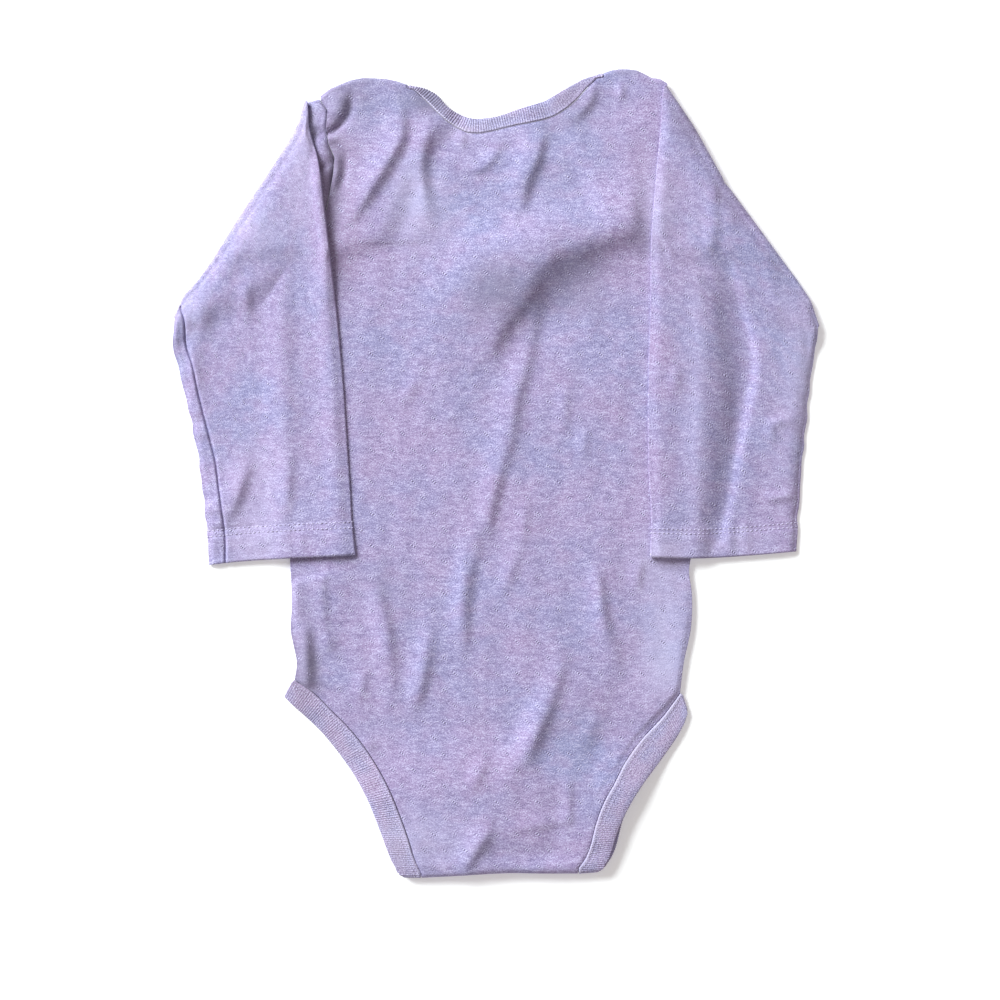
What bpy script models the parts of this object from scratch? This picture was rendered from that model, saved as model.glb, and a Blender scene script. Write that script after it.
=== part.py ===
"""A baby's long-sleeved bodysuit, laid flat with its back up and its sleeves folded down.

Each piece that is cut and sewn on is one closed solid: the front and back panels, two sleeves, the rib bindings of
the neck and of the leg openings, and the snaps at the crotch.  The cloth is a thin wall.  The back panel's shoulder
flaps fold over the shoulders and lie under the front panel, and its crotch flap wraps round the bottom and tucks
in above the front's tab.  X runs across the garment, Y from crotch to neck and Z up from the surface it lies on.

Sizes below are in millimetres; meshes are built in metres, about the middle of the garment's outline.
"""

import math
from typing import NamedTuple

import bmesh
import bpy
import numpy as np
from mathutils import Vector

METRES = 0.001          # metres in a millimetre

# --- cloth and gaps -------------------------------------------------------------------------------------------------
WALL = 1.2              # thickness of the jersey wall
GAP = 0.3               # gap kept between pieces at their seams and between layers
RIB_LIFT = 0.5          # how far the rib bindings stand above the panel that they are sewn to
RIB_ROUND = 0.7         # rounding of a binding's folded outer edge
HEM_LIFT = 0.4          # how far the turned cuff hem stands above the sleeve
HEM_DEPTH = 16.0        # depth of the cuff hem
PUFF = 2.2              # air between the back and the front, away from the side seams
PUFF_REACH = 22.0       # distance from an edge over which the puff grows
PUFF_TOP = 186.0        # the puff is gone at this place along the garment, below the shoulders
PUFF_FOOT = -200.0      # and at this place, at the crotch

# --- grids ----------------------------------------------------------------------------------------------------------
LEG_ROWS = 12           # rows of the panels from crotch to hip
SIDE_ROWS = 16          # rows from hip to underarm
ARMHOLE_ROWS = 11       # rows from underarm to shoulder, and the sleeves' columns that meet them
SHOULDER_COLUMNS = 8    # columns across each shoulder
NECK_COLUMNS = 18       # columns across the neckline
FRONT_SHARE = 0.5       # the front panel has this share of the back's rows and columns
LAP_ROWS = 6            # rows down a shoulder flap, under the front
TUCK_ROWS = 4           # rows up the crotch flap, inside
BEND_STEPS = 4          # steps round a fold
SLEEVE_ROWS = 13        # rows from the sleeve's fold to its cuff
COARSE_POINTS = 12      # points in the plain copies of edges from which heights are worked out


class Station(NamedTuple):
    """A point that an edge runs through."""

    across: float
    along: float


def stations(*pairs):
    """Edge table: a row for each point, with its place across and along the garment."""
    return [Station(*pair) for pair in pairs]


# --- outline of the body, as it lies ------------------------------------------------------------------------------
LEG_SEAM = {
    "left": stations((-37.5, -202.0), (-39.8, -196.3), (-43.6, -183.3), (-48.2, -170.3), (-54.3, -155.8),
                     (-61.2, -143.5), (-73.5, -127.2), (-82.7, -118.0), (-90.3, -110.3), (-101.0, -102.9)),
    "right": stations((40.8, -199.4), (43.8, -194.1), (46.5, -186.4), (49.2, -175.7), (53.0, -165.0),
                      (58.4, -155.0), (64.5, -143.5), (72.9, -132.1), (83.6, -120.6), (91.8, -109.5)),
}
LEG_OUTER = {
    "left": stations((-50.5, -199.4), (-54.3, -189.5), (-59.7, -174.9), (-65.8, -160.4), (-72.7, -148.1),
                     (-78.1, -140.2), (-87.3, -129.5), (-97.8, -119.6), (-106.6, -112.6)),
    "right": stations((55.5, -196.0), (58.7, -184.9), (60.7, -178.7), (66.8, -165.7), (72.9, -155.8),
                      (82.1, -143.5), (90.8, -131.0), (96.0, -121.5)),
}
SIDE_SEAM = {
    "left": stations((-101.0, -102.9), (-99.9, -94.3), (-101.0, -88.1), (-102.9, -78.9), (-102.4, -66.0),
                     (-103.3, -42.2), (-103.8, 5.0), (-103.6, 60.0), (-102.8, 106.5)),
    "right": stations((91.8, -109.5), (93.6, -95.0), (97.4, -75.9), (97.6, -58.3), (96.3, -48.3),
                      (97.6, -40.0), (98.8, 5.0), (99.8, 60.0), (100.0, 106.0)),
}
ARMHOLE = {
    "left": stations((-102.8, 106.5), (-92.5, 117.5), (-86.0, 129.0), (-83.7, 138.0), (-82.4, 146.8),
                     (-80.6, 156.5), (-83.4, 164.0), (-85.6, 170.5), (-84.0, 178.5), (-85.8, 185.6), (-88.0, 189.2)),
    "right": stations((100.0, 106.0), (92.5, 117.5), (87.5, 129.0), (85.2, 141.0), (84.4, 155.0),
                      (84.8, 170.0), (86.0, 184.0), (85.4, 195.6)),
}
SHOULDER_FOLD = {
    "left": stations((-88.0, 189.2), (-83.5, 192.6), (-77.0, 195.4), (-70.0, 197.9), (-62.0, 198.1),
                     (-52.9, 197.4), (-44.5, 194.8)),
    "right": stations((53.5, 200.7), (58.4, 202.2), (65.3, 202.6), (73.0, 201.0), (76.4, 198.4),
                      (80.6, 198.2), (85.4, 195.6)),
}
BACK_NECK_SEAM = stations((-44.5, 194.8), (-35.3, 186.4), (-26.1, 177.2), (-18.5, 172.2), (-12.4, 170.0),
                          (-4.7, 170.9), (8.4, 174.1), (18.3, 176.0), (28.3, 178.6), (37.4, 184.4), (44.3, 191.7),
                          (53.5, 200.7))
BACK_NECK_OUTER = stations((-35.3, 192.9), (-29.6, 189.8), (-24.6, 184.1), (-18.5, 180.2),
                           (-12.4, 178.1), (-4.7, 178.3), (3.0, 180.1), (12.2, 183.3), (24.4, 187.1),
                           (35.1, 193.2), (44.3, 197.9))
CROTCH_FOLD = stations((-37.5, -202.0), (-25.3, -201.3), (-6.1, -199.8), (5.6, -199.2), (22.4, -199.4),
                       (40.8, -199.4))

# --- hidden edges ---------------------------------------------------------------------------------------------------
NECK_BINDING_WIDTH = 8.6
LAP_BINDING_LEAN = 0.55         # how far a flap's binding points down for each millimetre that it points in
TUCKED_BINDING_SHARE = 0.92     # share of its width that the leg binding keeps inside the crotch fold
LAP_EDGE = {
    "left": stations((-44.5, 192.0), (-55.0, 179.0), (-64.5, 164.0), (-71.0, 150.0), (-75.0, 138.0)),
    "right": stations((51.0, 197.0), (58.0, 184.0), (65.5, 168.0), (71.5, 154.0), (76.0, 140.0)),
}
LAP_FOOT = 136.0                # where a shoulder flap ends along the armhole
FRONT_LEG_SEAM = {
    "left": stations((-43.5, -190.0), (-47.5, -176.0), (-55.0, -157.0), (-66.0, -139.0), (-79.0, -122.5),
                     (-90.0, -111.0), (-101.0, -102.9)),
    "right": stations((46.5, -188.5), (50.5, -174.0), (58.5, -154.5), (70.0, -136.0), (82.0, -121.0),
                      (91.8, -109.5)),
}
FRONT_LEG_BINDING_WIDTH = 11.0
FRONT_HEM = stations((-43.5, -190.0), (1.5, -188.5), (46.5, -188.5))
FRONT_EAR_TOP = {
    "left": stations((-77.0, 188.0), (-70.0, 190.0), (-63.0, 190.0)),
    "right": stations((63.0, 193.5), (70.0, 193.5), (78.0, 191.0)),
}
FRONT_NECK_SEAM = stations((-63.0, 190.0), (-52.0, 176.0), (-37.0, 158.5), (-18.0, 146.5), (3.0, 142.0),
                           (24.0, 147.0), (42.0, 160.0), (55.0, 178.0), (63.0, 193.5))
SHOULDER_SHARE = {"left": 0.24, "right": 0.80}      # where the neck corners fall across the panel
SHOULDER_SHARPNESS = 1.3                            # above 1, only the rows near the shoulders take their shape

# --- heights of the stacked layers ------------------------------------------------------------------------------
LAP_RISE = WALL + GAP                   # the front's rise over a shoulder flap
SHOULDER_LIFT = 1.8                     # the back's rise over flap and front together
LAP_CLEAR = 17.0                        # the front is fully raised this far outside the flap's edge
LAP_SLOPE = 8.0                         # and comes down to the surface over this distance
SNAP_ROW = -176.0                       # the snaps' place along the garment
SNAP_SPACING = 25.0
SNAP_MIDDLE = 3.0
SNAP_CAP_RADIUS = 4.75
SNAP_CAP_HEIGHT = 0.9
SNAP_SOCKET_RADIUS = 4.2
SNAP_SOCKET_HEIGHT = 1.0
SNAP_SIDES = 18
TAB_LIFT = SNAP_CAP_HEIGHT + GAP                            # the front tab's rise over the caps
TAB_LEVEL_FROM = -165.0                                     # the tab is raised up to here
TAB_SLOPE = 18.0                                            # and comes down over this distance
FLAP_LIFT = TAB_LIFT + WALL + SNAP_SOCKET_HEIGHT + 2 * GAP  # the crotch flap's height over tab and sockets
FLAP_FOOT = -199.0                                          # the flap reaches the surface here, at the crotch fold
FLAP_SLOPE = 12.0
FLAP_LEVEL_TO = -160.0                                      # the back is raised over the flap up to here
FLAP_END_SLOPE = 16.0                                       # and comes down over this distance
FLAP_PUFF_LOSS = 0.6                                        # share of the puff that is lost over the flap
SHOULDER_BEND = 1.65                                        # middle radius of the shoulder folds
CROTCH_BEND = 0.9                                           # middle radius of the crotch fold
FAR = 400.0                                                 # outside the garment, to tell an edge's two sides
NECK_DROP = 1.0                         # the back neckline sinks this far between the shoulders
NECK_DROP_FROM = 156.0                  # starting here along the garment
NECK_DROP_BESIDE_LAP = 20.0             # and this far from the shoulder flaps
NECK_DROP_SLOPE = 12.0
FOLD_MARGIN = 1.5                       # the back is smooth this close to a sleeve or a side seam
FOLD_EASE = 9.0                         # and its folds grow to their height over this distance
CUFF_CLEAR = 14.0                       # it is smooth for this distance below the cuffs too


class Fold(NamedTuple):
    """One soft crease: its course, height above the cloth, and the spread of its two flanks."""

    name: str
    course: list
    height: float
    near_spread: float      # on the left of the course, read from its first point
    far_spread: float


FOLD_END_SHARE = 0.25           # share of its height that a fold keeps at its two ends
FOLD_FULLNESS = 0.7             # below 1, a fold stays high along more of its course
BACK_FOLDS = [
    Fold("left yoke ridge", stations((-48.3, 184), (-47.8, 169), (-54.3, 156), (-63.8, 141), (-73, 127)),
         3.4, 3.2, 7.0),
    Fold("second yoke ridge", stations((-33.5, 173), (-36.8, 158), (-36.3, 146), (-31.5, 128)), 1.8, 3.2, 5.0),
    Fold("centre yoke ridge", stations((23.3, 171), (18.8, 157), (14.0, 146), (11.5, 134)), 2.4, 3.6, 9.0),
    Fold("shoulder blade swell", stations((78, 131), (49.3, 121), (26.8, 110), (12.8, 95), (1.8, 78), (-7, 61)),
         3.6, 9.0, 20.0),
    Fold("long centre ridge", stations((20.8, 92), (18.8, 79), (13.8, 53), (8.8, 37), (5.8, 17), (-2.3, -9),
                                       (-5.5, -25)), 2.2, 4.0, 7.0),
    Fold("lower centre ridge", stations((-11.8, -24), (-11.0, -38), (-14.5, -53), (-16.3, -70), (-16.0, -86)),
         1.7, 3.6, 6.0),
    Fold("left hip ridge", stations((-33.5, -82), (-35.8, -98), (-41.5, -118)), 1.6, 3.6, 6.0),
    Fold("left waist ridge", stations((-60, -56), (-54.5, -82), (-52.3, -110)), 1.5, 4.0, 7.0),
    Fold("right waist crease", stations((50.3, -50), (52.5, -66), (56.0, -81), (61.0, -97)), 1.5, 3.6, 5.0),
    Fold("seat ridge", stations((31.8, -93), (28.3, -108), (23.8, -120), (18.8, -132), (12.8, -144)), 2.4, 4.0, 7.0),
    Fold("crotch ridge", stations((-3.5, -177), (-9.5, -187), (-15.0, -195)), 1.2, 3.4, 5.0),
]
SLEEVE_FOLDS = {
    "left": [
        Fold("elbow swell", stations((-120, 118), (-117, 85), (-112, 45), (-106, 5)), 1.6, 12.0, 14.0),
        Fold("cuff crease", stations((-126, 4), (-131, -13), (-135, -27)), 1.2, 4.0, 6.0),
    ],
    "right": [
        Fold("long sleeve ridge", stations((104, 108), (112, 86), (119.5, 66), (119.5, 50), (116, 32), (112, 13),
                                           (109, -9), (105.5, -25)), 3.4, 5.0, 13.0),
    ],
}

# --- sleeves, as they lie folded down -----------------------------------------------------------------------------
SLEEVE_FOLD_LINE = {
    "left": stations((-96.2, 187.6), (-98.0, 180.2), (-100.2, 172.6), (-103.8, 166.8), (-108.3, 159.7),
                     (-128.3, 129.5), (-149.5, 97.0), (-158.6, 86.5), (-161.4, 79.0)),
    "right": stations((85.2, 195.6), (91.3, 185.2), (98.9, 173.8), (106.6, 160.0), (111.2, 151.6), (130.4, 124.3),
                      (150.2, 97.4), (156.0, 89.5), (161.4, 74.5)),
}
SLEEVE_INNER = {
    "left": stations((-96.2, 187.6), (-95.3, 183.8), (-93.1, 172.2), (-91.3, 165.5), (-89.1, 158.8),
                     (-87.7, 151.2), (-86.0, 137.0), (-81.4, 97.0), (-78.3, 66.4), (-76.4, 43.5), (-74.9, 20.5),
                     (-73.0, -8.9), (-72.2, -22.7), (-70.3, -40.7)),
    "right": stations((85.2, 195.6), (82.9, 186.0), (81.3, 169.2), (79.8, 153.9), (78.3, 135.5), (77.1, 120.2),
                      (76.7, 92.0), (75.5, 37.0), (76.0, -1.3), (77.2, -20.4), (76.6, -41.9)),
}
SLEEVE_OUTER = {
    "left": stations((-161.4, 79.0), (-161.9, 64.0), (-159.2, 52.9), (-156.8, 43.5), (-153.4, 29.7),
                     (-151.1, 16.7), (-148.2, 1.4), (-146.5, -16.3), (-144.9, -26.0), (-143.8, -45.5)),
    "right": stations((161.4, 74.5), (160.6, 66.5), (159.0, 58.0), (157.4, 47.3), (154.9, 25.8), (153.2, 5.2),
                      (151.7, -15.1), (150.7, -24.0), (150.7, -38.8)),
}
CUFF_END = {
    "left": stations((-70.3, -40.7), (-103.2, -42.2), (-135.4, -44.5), (-143.8, -45.5)),
    "right": stations((76.6, -41.9), (101.5, -42.2), (128.3, -40.7), (150.5, -38.8)),
}
SLEEVE_ROOM = 0.3               # half the space between a sleeve's two walls
SLEEVE_HALF = SLEEVE_ROOM + WALL
SLEEVE_PUFF = 1.8               # how far a sleeve's upper wall swells between its edges
SLEEVE_CLEAR = 0.5              # room between a sleeve and the cloth it lies on
SLEEVE_DRAPE = 15.0             # distance over which a sleeve comes down from the body to the surface
HIDDEN_SLEEVE_STEPS = 2         # rows from the armhole to the sleeve's fold
MIN_FOLD_ROUND = 1.65           # smallest middle radius of a sleeve's fold
SHOULDER_TIGHTNESS = 0.55       # share of that radius left where the fold starts at the shoulder
SHOULDER_TIP_SHARE = 1 / 3      # and the radius is whole within this share of the fold's length
SHOULDER_TIP_DROP = 1.5         # the fold's first point lies this much lower, clear of the shoulder
FOLD_SHARPNESS = 1.5            # how quickly the sleeve's rows lose the slant of its fold
CUFF_SHARPNESS = 3.0            # how late they take the slant of its cuff
SLEEVE_FULLNESS = 0.8           # below 1, the sleeve is full across more of its width
CUFF_FLATNESS = 0.45            # share of its fullness that it loses towards the cuff
SLEEVE_SWELL_SHARE = 0.15       # it swells over this share of its length and of its width
SLEEVE_SETTLE_SHARE = 0.2       # and settles on what it lies on over this share of its length
HEM_STEP = 2.0                  # distance over which the cuff hem stands up
EDGE_HOLLOW = 0.9               # share of the inner round kept at a sleeve's two edges

HEATHER_LILAC = (0.62, 0.49, 0.68, 1.0)
RIB_PINK = (0.66, 0.50, 0.68, 1.0)
SNAP_WHITE = (0.82, 0.78, 0.80, 1.0)
CLOTH_ROUGHNESS = 0.9
SNAP_ROUGHNESS = 0.35
SIDES = {"left": -1.0, "right": 1.0}


# --- curves and patches ---------------------------------------------------------------------------------------------
def smooth_line(table, count):
    """Points evenly spaced along a smooth curve through a table's stations, as rows of (across, along)."""
    knots = np.array(table, dtype=float)
    chord = np.concatenate([[0.0], np.cumsum(np.linalg.norm(np.diff(knots, axis=0), axis=1))])
    slope = np.gradient(knots, chord, axis=0)
    reach = np.linspace(0.0, chord[-1], 16 * len(knots))
    start = np.clip(np.searchsorted(chord, reach, side="right") - 1, 0, len(chord) - 2)
    length = (chord[start + 1] - chord[start])[:, None]
    part = (reach - chord[start])[:, None] / length
    fine = (knots[start] * (2 * part ** 3 - 3 * part ** 2 + 1)
            + slope[start] * length * (part ** 3 - 2 * part ** 2 + part)
            + knots[start + 1] * (3 * part ** 2 - 2 * part ** 3)
            + slope[start + 1] * length * (part ** 3 - part ** 2))
    walked = np.concatenate([[0.0], np.cumsum(np.linalg.norm(np.diff(fine, axis=0), axis=1))])
    even = np.linspace(0.0, walked[-1], count)
    return np.stack([np.interp(even, walked, fine[:, 0]), np.interp(even, walked, fine[:, 1])], axis=1)


def join_lines(*lines):
    """One edge from lines that meet end to end."""
    return np.concatenate([lines[0]] + [line[1:] for line in lines[1:]])


def plan_normals(line, towards):
    """Unit normals of a line in plan, on the side of the point given."""
    tangent = np.gradient(line, axis=0)
    normal = np.stack([-tangent[:, 1], tangent[:, 0]], axis=1)
    normal /= np.linalg.norm(normal, axis=1)[:, None]
    flip = np.sign(np.sum(normal * (np.array(towards) - line), axis=1))
    return normal * np.where(flip == 0, 1, flip)[:, None]


def ease(value):
    """Smooth step from 0 to 1."""
    part = np.clip(value, 0.0, 1.0)
    return part * part * (3.0 - 2.0 * part)


def patch(first, last, start, end, across, start_share, end_share):
    """Grid of plan points between two side edges, whose end rows take the shapes of two cross edges.

    first and last are the side edges, with a point for each row.  start and end are the cross edges, with a point
    for each column.  across is each column's share of the way over, and the shares say how far each row feels the
    two cross edges.
    """
    share = across[None, :, None]
    grid = first[:, None, :] * (1 - share) + last[:, None, :] * share
    start_off = start - (first[0] * (1 - across[:, None]) + last[0] * across[:, None])
    end_off = end - (first[-1] * (1 - across[:, None]) + last[-1] * across[:, None])
    return grid + start_share[:, None, None] * start_off[None] + end_share[:, None, None] * end_off[None]


def signed_distance(across, along, line):
    """Distance from a line in plan, above zero on its left as it runs, and the share of the way along it."""
    best = np.full(np.shape(across), np.inf)
    side = np.ones(np.shape(across))
    share = np.zeros(np.shape(across))
    count = len(line) - 1
    for number in range(count):
        origin, step = line[number], line[number + 1] - line[number]
        off_x, off_y = across - origin[0], along - origin[1]
        part = np.clip((off_x * step[0] + off_y * step[1]) / (step @ step), 0.0, 1.0)
        distance = np.hypot(off_x - part * step[0], off_y - part * step[1])
        nearer = distance < best
        best = np.where(nearer, distance, best)
        side = np.where(nearer, np.where(step[0] * off_y - step[1] * off_x >= 0, 1.0, -1.0), side)
        share = np.where(nearer, (number + part) / count, share)
    return best * side, share


def fold_height(across, along, folds):
    """Height that a table of folds adds at each point."""
    total = np.zeros(np.shape(across))
    for fold in folds:
        distance, share = signed_distance(across, along, smooth_line(fold.course, COARSE_POINTS))
        spread = np.where(distance > 0, fold.near_spread, fold.far_spread)
        rise = FOLD_END_SHARE + (1.0 - FOLD_END_SHARE) * np.sin(np.pi * share) ** FOLD_FULLNESS
        total = total + fold.height * np.exp(-(distance / spread) ** 2) * rise
    return total


# --- heights of the layers --------------------------------------------------------------------------------------
def side_at(side, along):
    """The body's outline on one side, at a place along it."""
    edge = join_lines(*(smooth_line(table[side], COARSE_POINTS) for table in (LEG_SEAM, SIDE_SEAM, ARMHOLE)))
    return np.interp(along, edge[:, 1], edge[:, 0])


def lap_distance(across, along):
    """Distance inside the nearer shoulder flap's edge; below zero outside it."""
    left, _ = signed_distance(across, along, smooth_line(LAP_EDGE["left"], COARSE_POINTS))
    right, _ = signed_distance(across, along, smooth_line(LAP_EDGE["right"], COARSE_POINTS))
    return np.minimum(np.where(across < 0, -left, right), along - LAP_FOOT)


def front_floor(across, along):
    """Underside of the front panel."""
    rise = LAP_RISE * ease((lap_distance(across, along) + LAP_CLEAR + LAP_SLOPE) / LAP_SLOPE)
    return rise + TAB_LIFT * (1.0 - ease((along - TAB_LEVEL_FROM) / TAB_SLOPE))


def flap_floor(along):
    """Underside of the crotch flap, which lies over the front's tab and comes down at the crotch fold."""
    return FLAP_LIFT * ease((along - FLAP_FOOT) / FLAP_SLOPE)


def beside_sleeves(across, along):
    """Distance in from the folded sleeves' inner edges, or from the side seams below the cuffs."""
    left_sleeve, right_sleeve = (smooth_line(SLEEVE_INNER[side], COARSE_POINTS)[::-1] for side in SIDES)
    left = np.interp(along, left_sleeve[:, 1], left_sleeve[:, 0])
    right = np.interp(along, right_sleeve[:, 1], right_sleeve[:, 0])
    below = 1.0 - ease((along - left_sleeve[0, 1] + CUFF_CLEAR) / FOLD_EASE)
    left = left + (side_at("left", along) - left) * below
    right = right + (side_at("right", along) - right) * below
    return np.minimum(across - left, right - across)


def back_floor(across, along, folded=True):
    """Underside of the back panel."""
    left, right = side_at("left", along), side_at("right", along)
    inside = np.minimum(across - left, right - across)
    swell = ease(inside / PUFF_REACH) * ease((PUFF_TOP - along) / PUFF_REACH)
    swell = swell * ease((along - PUFF_FOOT) / PUFF_REACH)
    lap = lap_distance(across, along)
    lift = SHOULDER_LIFT * ease((lap + LAP_CLEAR + 2 * LAP_SLOPE) / (1.5 * LAP_SLOPE))
    over_flap = 1.0 - ease((along - FLAP_LEVEL_TO) / FLAP_END_SLOPE)
    height = WALL + GAP + PUFF * swell * (1 - FLAP_PUFF_LOSS * over_flap) + lift
    height = height + (flap_floor(along) + GAP) * over_flap
    neck = ease((along - NECK_DROP_FROM) / NECK_DROP_SLOPE) * ease((-lap - NECK_DROP_BESIDE_LAP) / NECK_DROP_SLOPE)
    height = height - NECK_DROP * neck
    if folded:
        away = ease((beside_sleeves(across, along) - FOLD_MARGIN) / FOLD_EASE)
        height = height + fold_height(across, along, BACK_FOLDS) * away
    return height


def under_sleeve(side, across, along):
    """Height of what a folded sleeve lies on: the body and the sleeve's own first part, then the surface."""
    sign = SIDES[side]
    inside_body = sign * (side_at(side, along) - across)
    armpit, corner = np.array(SIDE_SEAM[side][-1]), np.array(SLEEVE_FOLD_LINE[side][-1])
    way = (corner - armpit) / np.linalg.norm(corner - armpit)
    above_underarm = sign * (way[0] * (along - armpit[1]) - way[1] * (across - armpit[0]))
    inside = np.maximum(inside_body, above_underarm)
    level = back_floor(across, along, folded=False) + WALL + 2 * SLEEVE_ROOM - GAP + SLEEVE_CLEAR
    return level * ease((inside + SLEEVE_DRAPE) / SLEEVE_DRAPE)


# --- meshes ---------------------------------------------------------------------------------------------------------
def cloth_material(name, colour, roughness):
    """A plain finish."""
    material = bpy.data.materials.new(name)
    material.use_nodes = True
    shader = material.node_tree.nodes["Principled BSDF"]
    shader.inputs["Base Color"].default_value = colour
    shader.inputs["Roughness"].default_value = roughness
    shader.inputs["Metallic"].default_value = 0.0
    return material


def add_object(name, mesh_tool, finish):
    """Turns a bmesh into a named object with one finish, shaded smooth."""
    bmesh.ops.recalc_face_normals(mesh_tool, faces=mesh_tool.faces)
    if mesh_tool.calc_volume(signed=True) < 0:
        bmesh.ops.reverse_faces(mesh_tool, faces=mesh_tool.faces)
    mesh = bpy.data.meshes.new(name)
    mesh_tool.to_mesh(mesh)
    mesh_tool.free()
    mesh.shade_smooth()
    mesh.set_sharp_from_angle(angle=math.radians(50.0))
    mesh.materials.append(finish)
    piece = bpy.data.objects.new(name, mesh)
    bpy.context.scene.collection.objects.link(piece)
    return piece


def place(mesh_tool, point):
    """One vertex at a point given in millimetres."""
    return mesh_tool.verts.new(Vector(tuple(float(value) * METRES for value in point)))


def wall_solid(name, outer, inner, finish):
    """Closed wall between two surfaces on the same cells.

    outer and inner map a cell corner (column, row) to its point.  A cell is filled where all four corners exist.
    """
    tool = bmesh.new()
    skins = [{key: place(tool, point) for key, point in surface.items()} for surface in (outer, inner)]
    borders = {}
    for column, row in outer:
        ring = [(column, row), (column + 1, row), (column + 1, row + 1), (column, row + 1)]
        if not all(key in outer for key in ring):
            continue
        tool.faces.new([skins[0][key] for key in ring])
        tool.faces.new([skins[1][key] for key in reversed(ring)])
        for start, end in zip(ring, ring[1:] + ring[:1]):
            if (end, start) in borders:
                del borders[(end, start)]
            else:
                borders[(start, end)] = True
    for start, end in borders:
        tool.faces.new([skins[0][end], skins[0][start], skins[1][start], skins[1][end]])
    return add_object(name, tool, finish)


def loft_solid(name, rings, finish):
    """Closed solid through rings of points, each with the same count, with flat ends."""
    tool = bmesh.new()
    loops = [[place(tool, point) for point in ring] for ring in rings]
    for first, second in zip(loops, loops[1:]):
        for number in range(len(first)):
            after = (number + 1) % len(first)
            tool.faces.new([first[number], first[after], second[after], second[number]])
    tool.faces.new(list(reversed(loops[0])))
    tool.faces.new(loops[-1])
    return add_object(name, tool, finish)


def tube_solid(name, outer_rings, inner_rings, finish):
    """Wall of an open tube: an outer and an inner skin, joined by a rim at each end."""
    tool = bmesh.new()
    skins = [[[place(tool, point) for point in ring] for ring in rings] for rings in (outer_rings, inner_rings)]
    count = len(outer_rings[0])
    for skin in skins:
        for first, second in zip(skin, skin[1:]):
            for number in range(count):
                after = (number + 1) % count
                tool.faces.new([first[number], first[after], second[after], second[number]])
    for end in (0, -1):
        for number in range(count):
            after = (number + 1) % count
            tool.faces.new([skins[0][end][number], skins[0][end][after], skins[1][end][after], skins[1][end][number]])
    return add_object(name, tool, finish)


def point3(plan, height):
    """A point from its place in plan and its height."""
    return np.array([plan[0], plan[1], height])


def bend_points(start, outward, level, radius, steps):
    """Outer and inner wall points round a fold that turns cloth under itself.

    start is the plan point where the bend begins, on the upper layer, whose middle is at level.
    """
    points = []
    for step in range(1, steps + 1):
        angle = math.pi * step / steps
        middle = np.array([*(start + outward * radius * math.sin(angle)), level - radius * (1 - math.cos(angle))])
        away = np.array([*(outward * math.sin(angle)), math.cos(angle)])
        points.append((middle + away * WALL / 2, middle - away * WALL / 2))
    return points


# --- back panel -----------------------------------------------------------------------------------------------------
def column_shares(shoulder_columns, neck_columns):
    """Each column's share of the way over a panel, with the neck corners on columns."""
    left = np.linspace(0.0, SHOULDER_SHARE["left"], shoulder_columns + 1)
    neck = np.linspace(SHOULDER_SHARE["left"], SHOULDER_SHARE["right"], neck_columns + 1)
    right = np.linspace(SHOULDER_SHARE["right"], 1.0, shoulder_columns + 1)
    return np.concatenate([left, neck[1:], right[1:]])


def panel_rows(leg_rows, side_rows, armhole_rows):
    """How far each row of a panel feels its bottom edge and its top edge."""
    number = np.arange(leg_rows + side_rows + armhole_rows + 1)
    bottom = np.clip(1.0 - number / leg_rows, 0.0, 1.0)
    top = np.clip((number - leg_rows - side_rows) / armhole_rows, 0.0, 1.0) ** SHOULDER_SHARPNESS
    return bottom, top


def armhole_line(side):
    """The armhole's points from underarm to shoulder, which the panels, the flaps and the sleeve all share."""
    line = smooth_line(ARMHOLE[side], ARMHOLE_ROWS + 1)
    line[-1, 1] -= SHOULDER_BEND + WALL / 2
    return line


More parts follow.
